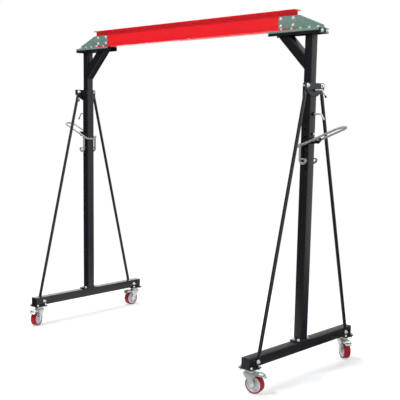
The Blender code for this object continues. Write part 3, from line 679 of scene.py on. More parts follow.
def build_strut(side, sign):
    """A mitred square tube from the leg up to the saddle."""
    face = POST_X - INNER_HALF - SEAT_GAP
    section = rounded(rectangle(HALF_TUBE, HALF_TUBE), sizes().tube_corner)
    middle = INNER_HIGH - STRUT_DROP
    lean_x, lean_z = sin(STRUT_ANGLE), cos(STRUT_ANGLE)
    foot, head = [], []
    for across, y in section:
        start = Vector((face + across * lean_z, y, middle + across * lean_x))
        foot.append(start + Vector((-lean_x, 0, lean_z)) * ((start.x - face) / lean_x))
        head.append(start + Vector((-lean_x, 0, lean_z)) * ((INNER_HIGH - start.z) / lean_z))
    bm = bmesh.new()
    add_skin(bm, [[(sign * v.x, v.y, v.z) for v in ring] for ring in (foot, head)])
    piece_of("corner_strut_" + side, bm, "head", frame_paint(), ["strut_" + side])
    toe_low, toe_high = min(v.z for v in foot), max(v.z for v in foot)
    heel_in, heel_out = min(v.x for v in head), max(v.x for v in head)
    reach = HALF_TUBE - 0.004
    lines = [[(sign * face, -reach, toe_high), (sign * face, reach, toe_high)],
             [(sign * face, -INNER_HALF + 0.002, toe_low), (sign * face, INNER_HALF - 0.002, toe_low)],
             [(sign * heel_out, -reach, INNER_HIGH), (sign * heel_out, reach, INNER_HIGH)],
             [(sign * heel_in, -reach, INNER_HIGH), (sign * heel_in, reach, INNER_HIGH)]]
    for way in (-1, 1):
        lines.append([(sign * face, way * (INNER_HALF + 0.0005), toe_low + 0.004),
                      (sign * face, way * (INNER_HALF + 0.0005), toe_high - 0.004)])
        lines.append([(sign * (POST_X - INNER_HALF + 0.004), way * INNER_HALF, INNER_HIGH - 0.001),
                      (sign * (POST_X + INNER_HALF - 0.004), way * INNER_HALF, INNER_HIGH - 0.001)])
    lines.append([(sign * (POST_X + INNER_HALF), -INNER_HALF + 0.004, INNER_HIGH - 0.001),
                  (sign * (POST_X + INNER_HALF), INNER_HALF - 0.004, INNER_HIGH - 0.001)])
    add_welds("head_welds_" + side, lines, "head", weld_metal())


def build_saddles():
    """Pairs of angles under the beam's ends, with a bolted end plate."""
    inner, outer = ANGLE_BOX[0].x, ANGLE_BOX[1].x
    near, far = ANGLE_SPLIT / 2, ANGLE_SPLIT / 2 + ANGLE_WIDTH
    wall, low = far - ANGLE_THICK, ANGLE_HIGH - ANGLE_DEPTH
    outline = [(near, ANGLE_HIGH), (far, ANGLE_HIGH), (far, low), (wall, low),
               (wall, ANGLE_HIGH - ANGLE_THICK), (near, ANGLE_HIGH - ANGLE_THICK)]
    radii = [0.0, 0.0012, 0.0, 0.0024, 0.005, 0.0024]
    for side, sign in SIDES.items():
        for end, way in ENDS.items():
            bm = bmesh.new()
            shape = [(way * y, z) for y, z in rounded(outline, radii)]
            add_prism(bm, shape, sign * inner, sign * outer, "X")
            piece_of(f"saddle_{side}_{end}", bm, "head", frame_paint(),
                     [f"saddle_angle_{side}_{end}"])
            # A thin strip of the gusset's grey-green plate along the top of each saddle's outer face: a
            # painted highlight on the top edge and upper half of the black angle.
            highlight_band = [(way * y, z) for y, z in rounded([(far, ANGLE_HIGH), (far + 0.0016, ANGLE_HIGH),
                                                       (far + 0.0016, ANGLE_HIGH - 0.014),
                                                       (far, ANGLE_HIGH - 0.014)], [0, 0.0006, 0.0006, 0])]
            bm = bmesh.new()
            add_prism(bm, highlight_band, sign * (inner + 0.002), sign * (outer - 0.001), "X")
            piece_of(f"saddle_strip_{side}_{end}", bm, "head", gusset_plate())
        bm = bmesh.new()
        shape = rounded(rectangle(far, ANGLE_DEPTH / 2, (0, ANGLE_HIGH - ANGLE_DEPTH / 2)), 0.003)
        add_prism(bm, shape, sign * outer, sign * (outer + 0.006), "X")
        piece_of("saddle_end_" + side, bm, "head", frame_paint(),
                 edge=sizes().plate_edge)
        spots = [((sign * (outer + 0.006), way * 0.031, ANGLE_HIGH - 0.017), (sign, 0, 0)) for way in (-1, 1)]
        add_fasteners("saddle_end_bolts_" + side, bolt_head("bolt", sizes().bolt_flats * 0.85, 0.0105), spots,
                      "head", bolt_zinc(), 3)


def build_gussets():
    """Cut plates bolted through the web, with feet bolted to the saddles."""
    inside = BEAM_WEB / 2 + SEAT_GAP
    outside = inside + GUSSET_THICK
    seat, high = GUSSET_BOX[0].z, GUSSET_BOX[1].z
    over = BEAM_LOW + BEAM_FLANGE + SEAT_GAP
    left, right = GUSSET_BOX[0].x, GUSSET_BOX[1].x
    apex, beam_end = POST_X + 0.101 - 0.202, BEAM_HALF + SEAT_GAP
    outline = [(left, over + 0.0065), (left, high), (apex, high), (right, seat + 0.022), (right, seat),
               (beam_end, seat), (beam_end, over + 0.0065)]
    radii = [0.0, 0.005, 0.010, 0.006, 0.0, 0.0, 0.0]
    rows = ((high - 0.018, 0.927), (high - 0.018, 1.031), (over + 0.027, 0.927), (over + 0.027, 1.031))
    for side, sign in SIDES.items():
        heads, feet, nuts = [], [], []
        for end, way in ENDS.items():
            bm = bmesh.new()
            shape = [(sign * x, z) for x, z in rounded(outline, radii)]
            add_prism(bm, shape, way * inside, way * outside, "Y")
            foot = rounded([(beam_end, outside - 0.002), (right, outside - 0.002), (right, outside + 0.026),
                            (beam_end, outside + 0.026)], [0.0, 0.0, 0.006, 0.006])
            add_prism(bm, [(sign * x, way * y) for x, y in foot], seat, seat + GUSSET_THICK, "Z")
            piece_of(f"gusset_plate_{side}_{end}", bm, "head", gusset_plate(),
                     [f"gusset_{side}_{end}"], edge=sizes().plate_edge)
            heads += [((sign * x, way * outside, z), (0, way, 0)) for z, x in rows]
            feet += [((sign * x, way * 0.0235, seat + GUSSET_THICK), (0, 0, 1))
                     for x in (1.105, 1.175, 1.245)]
            feet += [((sign * x, way * 0.0245, BEAM_LOW + BEAM_FLANGE), (0, 0, 1)) for x in (0.945, 1.030)]
            nuts += [((sign * x, way * 0.0240, ANGLE_HIGH - ANGLE_THICK), (0, 0, -1)) for x in (0.945, 1.245)]
        add_fasteners("web_bolts_" + side, dome_head("bolt", 0.0108, 0.0072), heads, "head", bolt_zinc(),
                      5)
        foot_bolt = bolt_head("bolt", sizes().bolt_flats * 0.88, 0.0105)
        add_fasteners("foot_bolts_" + side, foot_bolt, feet, "head",
                      bolt_zinc(), 6)
        add_fasteners("saddle_nuts_" + side, bolt_head("bolt", sizes().bolt_flats * 0.88, 0.0105, stub=0.004),
                      nuts, "head", bolt_zinc(), 8)


# ---------------------------------------------------------------- side frames

def frame_body(side):
    return side + "_frame"


def build_base_rails():
    """The closed square rails with the plates that take the casters."""
    for side, sign in SIDES.items():
        x = sign * POST_X
        bm = bmesh.new()
        middle = (BASE_LOW + BASE_HIGH) / 2
        section = rounded(rectangle(HALF_TUBE, HALF_TUBE, (x, middle)), sizes().tube_corner, 6)
        rings = []
        for y, inset in ((-BASE_HALF, 0.0012), (-BASE_HALF + 0.0012, 0), (BASE_HALF - 0.0012, 0),
                         (BASE_HALF, 0.0012)):
            share = 1 - inset / HALF_TUBE
            rings.append([(x + (a - x) * share, y, middle + (b - middle) * share) for a, b in section])
        add_skin(bm, rings)
        piece_of("base_rail_" + side, bm, frame_body(side), frame_paint(),
                 ["base_tube_" + side])
        bm = bmesh.new()
        lines = []
        for way in ENDS.values():
            y = way * CASTER_Y
            shape = rounded(rectangle(MOUNT_X / 2, MOUNT_Y / 2, (x, y)), sizes().plate_corner)
            add_prism(bm, shape, BASE_LOW - MOUNT_THICK, BASE_LOW, "Z")
            near, far = way * (CASTER_Y - MOUNT_Y / 2), way * BASE_HALF
            for part in (-1, 1):
                edge = x + part * (HALF_TUBE - 0.001)
                lines.append([(edge, near, BASE_LOW + 0.001), (edge, far, BASE_LOW + 0.001)])
            lines.append([(x - HALF_TUBE + 0.004, far, BASE_LOW + 0.0005),
                          (x + HALF_TUBE - 0.004, far, BASE_LOW + 0.0005)])
        piece_of("mount_plates_" + side, bm, frame_body(side), frame_paint(),
                 edge=sizes().plate_edge)
        add_welds("base_welds_" + side, lines, frame_body(side), weld_metal())


def build_lower_legs():
    """The outer legs with height holes, foot plates, collar plates and welded nuts."""
    inner_half = HALF_TUBE - TUBE_WALL
    for side, sign in SIDES.items():
        x = sign * POST_X
        body = frame_body(side)
        face = sign * FACE_X
        corner = sizes().tube_corner
        bm = bmesh.new()
        add_tube(bm, rounded(rectangle(HALF_TUBE, HALF_TUBE, (x, 0)), corner),
                 rounded(rectangle(inner_half, inner_half, (x, 0)), corner - TUBE_WALL), POST_LOW,
                 POST_HIGH, "Z")
        piece_of("lower_leg_" + side, bm, body, frame_paint(), ["outer_post_" + side],
                 cutters=[hole_row(x, TOP_HOLE, HOLE_COUNT)])
        bm = bmesh.new()
        add_prism(bm, rounded(rectangle(FOOT_X / 2, FOOT_Y / 2, (x, 0)), sizes().plate_corner), POST_BOX[0].z,
                  POST_LOW, "Z")
        half = COLLAR_WIDTH / 2
        collar = [(-half, POST_HIGH), (half, POST_HIGH), (half, POST_HIGH - COLLAR_EDGE),
                  (HALF_TUBE, POST_HIGH - COLLAR_DEPTH), (-HALF_TUBE, POST_HIGH - COLLAR_DEPTH),
                  (-half, POST_HIGH - COLLAR_EDGE)]
        add_prism(bm, rounded(collar, [0.006, 0.006, 0.012, 0.004, 0.004, 0.012]), face,
                  face + sign * COLLAR_THICK, "X")
        piece_of("leg_plates_" + side, bm, body, frame_paint(), edge=sizes().plate_edge)
        bm = bmesh.new()
        for z in SCREW_LEVELS.values():
            start = face + sign * (COLLAR_THICK if z > POST_HIGH - COLLAR_DEPTH else 0)
            place = upright((start, 0, z), (sign, 0, 0))
            length = BOSS_LENGTH - abs(start - face)
            add_hexagon(bm, BOSS_RADIUS * 2 * cos(pi / 6), 0, length, place)
        add_turned(bm, [(0, 0), (0.009, 0), (0.009, 0.009), (0.008, 0.010), (0, 0.010)],
                   upright((face, 0, INDEX_Z), (sign, 0, 0)), 20)
        piece_of("welded_nuts_" + side, bm, body, frame_paint(), edge=0.0006)
        low, high = POST_LOW + 0.0005, POST_HIGH - COLLAR_DEPTH
        reach, spread = HALF_TUBE, HALF_TUBE - 0.005
        lines = [[(x - spread, way * reach, low), (x + spread, way * reach, low)] for way in (-1, 1)]
        lines += [[(x + way * reach, -spread, low), (x + way * reach, spread, low)] for way in (-1, 1)]
        lines += [[(face, -spread, high), (face, spread, high)]]
        lines += [[(face - sign * 0.002, way * (reach - 0.001), high + 0.012),
                   (face - sign * 0.002, way * (reach - 0.001), POST_HIGH - 0.006)] for way in (-1, 1)]
        for z in (SCREW_LEVELS["lower"], INDEX_Z):
            size = 0.013 if z != INDEX_Z else 0.010
            lines.append([(face, a, z + b) for a, b in arc((0, 0), size, 0, 2 * pi, 14)])
        add_welds("leg_welds_" + side, lines, body, weld_metal())


def build_braces():
    """Round tubes whose ends are pressed flat and rounded, bolted at head and foot."""
    for side, sign in SIDES.items():
        for end, way in ENDS.items():
            top = Vector((sign * (FACE_X - SEAT_GAP - BRACE_FLAT / 2), way * BRACE_TOP[0], BRACE_TOP[1]))
            foot = Vector((sign * (FACE_X + SEAT_GAP + BRACE_FLAT / 2), way * BRACE_FOOT[0], BRACE_FOOT[1]))
            bm = bmesh.new()
            add_skin(bm, brace_rings(top, foot))
            piece_of(f"brace_tube_{side}_{end}", bm, frame_body(side), frame_paint(),
                     [f"brace_{side}_{end}"], crease=50)


def brace_rings(top, foot):
    """Rings from the top to the foot: flat and rounded at the ends, round between."""
    run = foot - top
    length, ahead = run.length, run.normalized()
    across = Vector((1, 0, 0)).cross(ahead).normalized()
    thick_way = ahead.cross(across).normalized()
    tip, flat, round_start = 0.0155, 0.026, 0.072
    steps = [-tip, -tip * 0.92, -tip * 0.72, -tip * 0.4, 0.0, flat, flat + 0.012, flat + 0.024,
             round_start - 0.01, round_start]
    stations = steps + [length - s for s in reversed(steps)]
    rings = []
    for along in stations:
        inset = min(along, length - along)
        bulge = max(0.0, min(1.0, (inset - flat) / (round_start - flat)))
        bulge = bulge * bulge * (3 - 2 * bulge)
        half_width = BRACE_FLAT_WIDTH / 2 + (BRACE_RADIUS - BRACE_FLAT_WIDTH / 2) * bulge
        half_thick = BRACE_FLAT / 2 + (BRACE_RADIUS - BRACE_FLAT / 2) * bulge
        if inset < 0:
            half_width *= (1 - min(1.0, (inset / tip) ** 2) * 0.999) ** 0.5
            half_thick *= 0.9 if inset < -tip * 0.9 else 1.0
        power = 0.55 + 0.45 * bulge
        ring = []
        for step in range(20):
            angle = 2 * pi * step / 20
            a = abs(cos(angle)) ** power * (1 if cos(angle) >= 0 else -1)
            b = abs(sin(angle)) ** power * (1 if sin(angle) >= 0 else -1)
            ring.append(top + ahead * along + across * (half_width * a) + thick_way * (half_thick * b))
        rings.append(ring)
    return rings


def build_frame_bolts():
    """The bolts that hold braces, foot plates and casters."""
    for side, sign in SIDES.items():
        x, face = sign * POST_X, sign * FACE_X
        body = frame_body(side)
        flats = sizes().bolt_flats
        heads = [((face + sign * COLLAR_THICK, way * BRACE_TOP[0], BRACE_TOP[1]), (sign, 0, 0))
                 for way in (-1, 1)]
        heads += [((face + sign * (BRACE_FLAT + 2 * SEAT_GAP), way * BRACE_FOOT[0], BRACE_FOOT[1]),
                   (sign, 0, 0))
                  for way in (-1, 1)]
        add_fasteners("brace_bolts_" + side, bolt_head("bolt", flats, 0.0150, 0.0022), heads, body,
                      bolt_zinc(), 11)
        nuts = [((face - sign * (BRACE_FLAT + 2 * SEAT_GAP), way * BRACE_TOP[0], BRACE_TOP[1]), (-sign, 0, 0))
                for way in (-1, 1)]
        nuts += [((x - sign * HALF_TUBE, way * BRACE_FOOT[0], BRACE_FOOT[1]), (-sign, 0, 0))
                 for way in (-1, 1)]
        add_fasteners("brace_nuts_" + side, bolt_head("bolt", flats, 0.0130, 0.0020, stub=0.010), nuts, body,
                      bolt_zinc(), 12)
        feet = [((x + a * 0.021, b * 0.054, POST_LOW), (0, 0, 1)) for a in (-1, 1) for b in (-1, 1)]
        add_fasteners("foot_plate_bolts_" + side, bolt_head("bolt", flats, 0.0115), feet, body, bolt_zinc(),
                      13)
        tops, unders = [], []
        for way in (-1, 1):
            for a in (-1, 1):
                for b in (-1, 1):
                    spot_x, spot_y = x + a * 0.0462, way * CASTER_Y + b * 0.041
                    tops.append(((spot_x, spot_y, BASE_LOW), (0, 0, 1)))
                    unders.append(((spot_x, spot_y, CASTER_TOP - 0.005), (0, 0, -1)))
        add_fasteners("caster_nuts_" + side, bolt_head("bolt", 0.0135, 0.0088, stub=0.004), tops, body,
                      bolt_zinc(), 14)
        add_fasteners("caster_bolts_" + side, bolt_head("bolt", 0.0120, 0.0068, 0.0012), unders, body,
                      bolt_zinc(), 15)


# ---------------------------------------------------------------- lifting levers and clamps

def lever_spot(sign, along, across):
    """A point of the lever's plane; along runs from the fulcrum towards the grip."""
    x, z = FULCRUM
    return Vector((sign * (x + along * cos(LEVER_ANGLE)), across, z + along * sin(LEVER_ANGLE)))


def build_levers():
    """Bent round rods that loop the leg, with their fulcrum bar and link pins."""
    for side, sign in SIDES.items():
        half, corner = LEVER_HALF, LEVER_CORNER
        near = arc((-LEVER_INNER + corner, -half + corner), corner, pi, 1.5 * pi, 6)
        grip = arc((LEVER_OUTER - half, 0), half, -pi / 2, pi / 2, 22)
        far = arc((-LEVER_INNER + corner, half - corner), corner, pi / 2, pi, 6)
        bm = bmesh.new()
        add_rod(bm, [lever_spot(sign, *point) for point in near + grip + far], ROD_RADIUS, 16, loop=True)
        piece_of("lever_loop_" + side, bm, "lever_" + side, rod_zinc(), ["lift_lever_" + side],
                 crease=60)
        bm = bmesh.new()
        pivot = lever_spot(sign, 0, 0)
        add_rod(bm, [pivot - Vector((0, half, 0)), pivot + Vector((0, half, 0))], 0.006, 16)
        for way in (-1, 1):
            eye = lever_spot(sign, -LINK_ARM, way * half)
            end = Vector((eye.x, way * (LINK_SIDE + 0.0095), eye.z))
            add_rod(bm, [eye, end], LINK_PIN, 14, soft=0.001)
            for offset in (-0.0082, 0.0072):
                add_turned(bm, [(0.0052, 0), (0.0095, 0), (0.0095, 0.001), (0.0052, 0.001)],
                           upright((eye.x, way * (LINK_SIDE + offset), eye.z), (0, way, 0)), 20, loop=True)
            collar = lever_spot(sign, 0, way * (CHEEK_HALF_GAP + CHEEK_THICK + 0.0004))
            add_turned(bm, [(0.0062, 0), (0.0115, 0), (0.0115, 0.0016), (0.0062, 0.0016)],
                       upright(collar, (0, way, 0)), 20, loop=True)
        piece_of("lever_pins_" + side, bm, "lever_" + side, rod_zinc())


def build_links():
    """Hanging hook rods with an eye, a cross bar and a stud that faces the height holes."""
    for side, sign in SIDES.items():
        for end, way in ENDS.items():
            eye = lever_spot(sign, -LINK_ARM, way * LINK_SIDE)
            hook_z = eye.z - LINK_LENGTH
            hook = arc((0, 0), HOOK_RADIUS, pi, radians(368), 18)
            path = [eye - Vector((0, 0, 0.009)), eye - Vector((0, 0, 0.04))]
            path += [Vector((eye.x + sign * (HOOK_RADIUS + a), eye.y, hook_z + b)) for a, b in hook]
            bm = bmesh.new()
            add_rod(bm, path, ROD_RADIUS, 16, soft=0.0015)
            hole, reach, wide = 0.0055, 0.012, 0.007
            profile = [(hole, -wide), (reach - 0.001, -wide), (reach, -wide + 0.001), (reach, wide - 0.001),
                       (reach - 0.001, wide), (hole, wide)]
            add_turned(bm, profile, upright(eye, (0, 1, 0)), 24, loop=True)
            bar_z = hook_z + LINK_PIN
            add_rod(bm, [(eye.x, eye.y, bar_z), (eye.x + sign * HOOK_RADIUS * 2, eye.y, bar_z)], LINK_PIN, 14)
            stud = sign * POST_X
            add_rod(bm, [(stud, eye.y, bar_z), (stud, way * (HALF_TUBE + 0.0005), bar_z)], LINK_PIN, 14,
                    soft=0.0012)
            piece_of(f"hook_link_{side}_{end}", bm, "links_" + side, rod_zinc(),
                     [f"lift_link_{side}_{end}"], crease=50)


def build_brackets():
    """Two rounded cheeks on a back plate welded to the leg."""
    for side, sign in SIDES.items():
        pivot_x, pivot_z = FULCRUM
        low, high = pivot_z - CHEEK_LOW, pivot_z + CHEEK_HIGH
        back = FACE_X + SEAT_GAP
        cheek = [(back, low), (pivot_x, low), (FACE_X + CHEEK_REACH, pivot_z - 0.006),
                 (FACE_X + CHEEK_REACH, high), (back, high)]
        shape = [(sign * x, z) for x, z in rounded(cheek, [0.0, 0.010, 0.008, 0.012, 0.0], 6)]
        bm = bmesh.new()
        for way in (-1, 1):
            add_prism(bm, shape, way * CHEEK_HALF_GAP, way * (CHEEK_HALF_GAP + CHEEK_THICK), "Y")
        half = CHEEK_HALF_GAP + CHEEK_THICK
        plate = rounded(rectangle(half, (high - low) / 2, (0, (low + high) / 2)), 0.004)
        add_prism(bm, plate, sign * back, sign * (back + CHEEK_THICK), "X")
        piece_of("lever_fork_" + side, bm, frame_body(side), frame_paint(),
                 ["lever_bracket_" + side], edge=sizes().plate_edge)


def build_clamp_screws():
    """Bent clamp handles: a cut thread, a smooth bent shank and a dipped tip."""
    for side, sign in SIDES.items():
        for level, z in SCREW_LEVELS.items():
            body = f"clamp_{side}_{level}"
            start = Vector((sign * (FACE_X - TUBE_WALL), 0, z))
            elbow = Vector((sign * (FACE_X + SCREW_REACH), 0, z))
            slope = hypot(HANDLE_REACH, HANDLE_DROP)
            ahead = Vector((sign * HANDLE_REACH, 0, -HANDLE_DROP)) / slope
            tip = elbow + ahead * slope
            smooth = Vector((sign * (FACE_X + 0.030), 0, z))
            bm = bmesh.new()
            path = [smooth] + bend(elbow, Vector((-sign, 0, 0)), ahead, 0.013, 8) + [tip]
            add_rod(bm, path, SCREW_RADIUS, 16, soft=0.0012)
            pitch = sizes().thread_pitch
            turns = int((smooth - start).length / pitch)
            profile = [(0, 0)]
            for number in range(turns):
                profile += [(SCREW_RADIUS * 0.86, pitch * number), (SCREW_RADIUS, pitch * (number + 0.5))]
            profile += [(SCREW_RADIUS * 0.86, pitch * turns), (0, pitch * turns)]
            add_turned(bm, profile, upright(start, (sign, 0, 0)), 14)
            piece_of(f"clamp_handle_{side}_{level}", bm, body, zinc_plate(),
                     [f"clamp_screw_{side}_{level}"], crease=40)
            bm = bmesh.new()
            cap = SCREW_RADIUS + 0.0009
            place = upright(tip - ahead * 0.014, ahead)
            add_turned(bm, [(0, -0.001), (cap * 0.9, -0.001), (cap, 0.001), (cap, 0.012), (cap * 0.8, 0.0145),
                            (0, 0.0150)], place, 20)
            piece_of(f"handle_dip_{side}_{level}", bm, body, vinyl_dip())


def build_index_bolts():
    """Sprung bolts with a ribbed knob."""
    for side, sign in SIDES.items():
        place = upright((sign * (FACE_X + 0.0103), 0, INDEX_Z), (sign, 0, 0))
        bm = bmesh.new()
        inner = -0.0103 - TUBE_WALL + SEAT_GAP
        add_turned(bm, [(0, inner), (0.004, inner), (0.005, inner + 0.001), (0.005, 0.0005), (0, 0.0005)],
                   place, 16)
        outline = []
        for step in range(48):
            reach = 0.009 if step % 2 else 0.0083
            outline.append((reach * cos(2 * pi * step / 48), reach * sin(2 * pi * step / 48)))
        rings = [[place @ Vector((a * share, b * share, height)) for a, b in outline]
                 for share, height in ((0.94, 0), (1.0, 0.0008), (1.0, 0.0050), (0.9, 0.0060))]
        add_skin(bm, rings)
        piece_of("index_knob_" + side, bm, "index_bolt_" + side, zinc_plate(),
                 ["index_bolt_" + side], crease=25)


# ---------------------------------------------------------------- casters

def casters():
    """Each caster's name, its frame's side and the place of its swivel."""
    for side, sign in SIDES.items():
        for end, way in ENDS.items():
            place = Matrix.Translation((sign * POST_X, way * CASTER_Y, 0))
            turn = Matrix.Rotation(radians(CASTER_TURNS[side, end]), 4, "Z")
            yield f"{side}_{end}", side, place, place @ turn


def across_axle(place, x, z):
    """A place whose Z axis runs along the axle."""
    return place @ Matrix.Translation((x, 0, z)) @ Matrix.Rotation(pi / 2, 4, "X")


def build_caster_plates():
    """Top plates with their raceways, salmon seals and king bolts."""
    for name, side, place, _ in casters():
        bm = bmesh.new()
        top, low = CASTER_TOP, CASTER_TOP - 0.005
        shape = rounded(rectangle(0.0525, 0.050), 0.010, 6)
        add_skin(bm, [[place @ Vector((a, b, z)) for a, b in shape] for z in (low, top)])
        add_turned(bm, [(0, low + 0.001), (0.036, low + 0.001), (0.036, low - 0.001), (0.033, low - 0.0035),
                        (0.012, low - 0.0045), (0, low - 0.0045)], place, 40)
        add_turned(bm, [(0, 0.1305), (0.0085, 0.1305), (0.0105, 0.1312), (0.0105, 0.1345), (0, 0.1345)],
                   place, 20)
        add_turned(bm, [(0, 0.134), (0.0065, 0.134), (0.0065, 0.158), (0, 0.158)], place, 16)
        piece_of("swivel_plate_" + name, bm, frame_body(side), zinc_plate(),
                 ["caster_plate_" + name], edge=0.0007)
        bm = bmesh.new()
        seal = [(0.026, 0.1505), (0.0352, 0.1505), (0.0366, 0.1525), (0.0366, 0.1555),
                (0.0345, 0.1575), (0.026, 0.1575)]
        add_turned(bm, seal, place, 44, loop=True)
        piece_of("swivel_seal_" + name, bm, frame_body(side), seal_plastic())


def fork_mesh():
    """A fork pressed from one sheet: an inverted U trimmed to its side outline."""
    outside, roll = FORK_INNER + FORK_CHEEK, 0.009
    low = WHEEL_RADIUS - 0.022
    outer = [(-outside, low), (outside, low), (outside, CROWN_HIGH), (-outside, CROWN_HIGH)]
    inner = [(-FORK_INNER, low), (FORK_INNER, low), (FORK_INNER, CROWN_LOW + 0.0005),
             (-FORK_INNER, CROWN_LOW + 0.0005)]
    outer = rounded(outer, [0, 0, roll, roll], 6)
    inner = rounded(inner, [0, 0, roll - FORK_CHEEK, roll - FORK_CHEEK], 6)
    section = outer[1:] + outer[:1] + inner[:1] + inner[:0:-1]
    bm = bmesh.new()
    add_skin(bm, [[(x, a, b) for a, b in section] for x in (-0.034, 0.060)])
    fork = new_object("fork", mesh_of(bm, "fork"))
    boss = arc((TRAIL, WHEEL_RADIUS), 0.0170, radians(196), radians(364), 14)
    front = [(0.0540, 0.076), (0.0480, 0.088), (0.0425, 0.098), (0.0415, 0.106), (0.0460, 0.114),
             (0.0530, 0.1185), (0.0578, 0.1230), (0.0588, 0.130)]
    back = [(-0.0325, 0.130), (-0.0312, 0.1245), (-0.0240, 0.1150), (-0.0080, 0.0990), (0.0060, 0.0845),
            (0.0170, 0.0715), (0.0215, 0.0640)]
    outline = boss + front + [(0.0588, CROWN_HIGH + 0.004), (-0.0325, CROWN_HIGH + 0.004)] + back
    keep = bmesh.new()
    add_prism(keep, outline, -0.06, 0.06, "Y")
    carve(fork, keep, "INTERSECT")
    hole = bmesh.new()
    add_turned(hole, [(0, 0.12), (0.0075, 0.12), (0.0075, 0.17), (0, 0.17)], Matrix.Identity(4), 20)
    carve(fork, hole)
    dome = bmesh.new()
    add_turned(dome, [(0.0074, 0.1410), (0.0330, 0.1410), (0.0330, 0.1440), (0.0300, 0.1480),
                      (0.0240, 0.1495),
                      (0.0074, 0.1495)], Matrix.Identity(4), 40, loop=True)
    dome_object = new_object("dome", mesh_of(dome, "dome"))
    join = fork.modifiers.new("join", "BOOLEAN")
    join.operation = "UNION"
    join.object = dome_object
    join.solver = "EXACT"
    settle(fork)
    bpy.data.objects.remove(dome_object, do_unlink=True)
    soften(fork, 0.0007, 2)
    mesh = fork.data
    bpy.data.objects.remove(fork, do_unlink=True)
    return mesh


def build_forks():
    """Pressed forks, and the axle bolts with their nuts and washers."""
    pressed = fork_mesh()
    for name, _, _, swivel in casters():
        mesh = pressed.copy()
        mesh.transform(swivel)
        fork = new_object("pressed_fork_" + name, mesh)
        dress(fork, "swivel_" + name, zinc_plate(), ["caster_fork_" + name])
        bm = bmesh.new()
        axle = across_axle(swivel, TRAIL, WHEEL_RADIUS)
        face = FORK_INNER + FORK_CHEEK + SEAT_GAP
        add_turned(bm, [(0, -face - 0.006), (AXLE_RADIUS, -face - 0.006), (AXLE_RADIUS, face + 0.0068),
                        (0, face + 0.0068)], axle, 16)
        for way in (-1, 1):
            turn = Matrix.Rotation(0 if way > 0 else pi, 4, "X")
            out = axle @ Matrix.Translation((0, 0, way * face)) @ turn
            add_turned(bm, [(0.006, 0), (0.0118, 0), (0.0118, 0.0014), (0.006, 0.0014)], out, 24, loop=True)
            add_hexagon(bm, 0.0168, 0.0013, 0.0064, out)
        piece_of("axle_bolt_" + name, bm, "swivel_" + name, bolt_zinc(), ["caster_axle_" + name],
                 crease=30)
    bpy.data.meshes.remove(pressed)


def build_wheels():
    """Moulded cores with rivets and hub caps, and cast treads."""
    for name, _, _, swivel in casters():
        axle = across_axle(swivel, TRAIL, WHEEL_RADIUS)
        body = "wheel_" + name
        half_profile = [(0.0066, 0.0308), (0.0135, 0.0308), (0.0150, 0.0295), (0.0155, 0.0240),
                        (0.0175, 0.0170), (0.0225, 0.0135), (0.0330, 0.0130), (0.0400, 0.0142),
                        (0.0440, 0.0175), (0.0465, 0.0212), (0.0485, CORE_HALF),
                        (RIM_RADIUS - 0.0003, CORE_HALF)]
        profile = half_profile + [(radius, -height) for radius, height in reversed(half_profile)]
        bm = bmesh.new()
        add_turned(bm, profile, axle, 48, loop=True)
        piece_of("nylon_core_" + name, bm, body, core_nylon(), ["wheel_core_" + name],
                 crease=40)
        bm = bmesh.new()
        tread = [(RIM_RADIUS, TREAD_HALF - 0.0015), (RIM_RADIUS + 0.0015, TREAD_HALF)]
        tread += [(WHEEL_RADIUS - TREAD_ROUND, TREAD_HALF)]
        tread += [(WHEEL_RADIUS - TREAD_ROUND + TREAD_ROUND * sin(a),
                   TREAD_HALF - TREAD_ROUND + TREAD_ROUND * cos(a))
                  for a in (pi / 8, pi / 4, 3 * pi / 8, pi / 2)]
        tread += [(radius, -height) for radius, height in reversed(tread)]
        add_turned(bm, tread, axle, 64, loop=True)
        piece_of("cast_tread_" + name, bm, body, tread_rubber(), ["wheel_tread_" + name],
                 crease=50)
        spots = []
        for way in (-1, 1):
            outward = (axle.to_3x3() @ Vector((0, 0, way))).normalized()
            for step in range(RIVETS):
                angle = 2 * pi * (step + 0.5) / RIVETS
                spot = axle @ Vector((RIVET_RING * cos(angle), RIVET_RING * sin(angle), way * 0.0136))
                spots.append((spot, outward))
        add_fasteners("core_rivets_" + name, dome_head("bolt", 0.0022, 0.0014), spots, body, bolt_zinc(),
                      21)


def pedal_rings(path, half, thick, crown):
    """Rings of a sheet along a side path, crowned across its width."""
    rings = []
    for index, (x, z) in enumerate(path):
        before = path[max(index - 1, 0)]
        after = path[min(index + 1, len(path) - 1)]
        run = Vector((after[0] - before[0], after[1] - before[1])).normalized()
        lift = Vector((-run.y, run.x))
        share = index / (len(path) - 1)
        wide = half * (1 - 0.14 * share)
        top, under = [], []
        for step in range(9):
            across = (step / 4 - 1)
            drop = crown * across ** 4
            base = Vector((x, z)) - lift * drop
            top.append((base.x + lift.x * thick / 2, across * wide, base.y + lift.y * thick / 2))
            under.append((base.x - lift.x * thick / 2, across * wide * 0.97, base.y - lift.y * thick / 2))
        rings.append([Vector(p) for p in top + under[::-1]])
    return rings


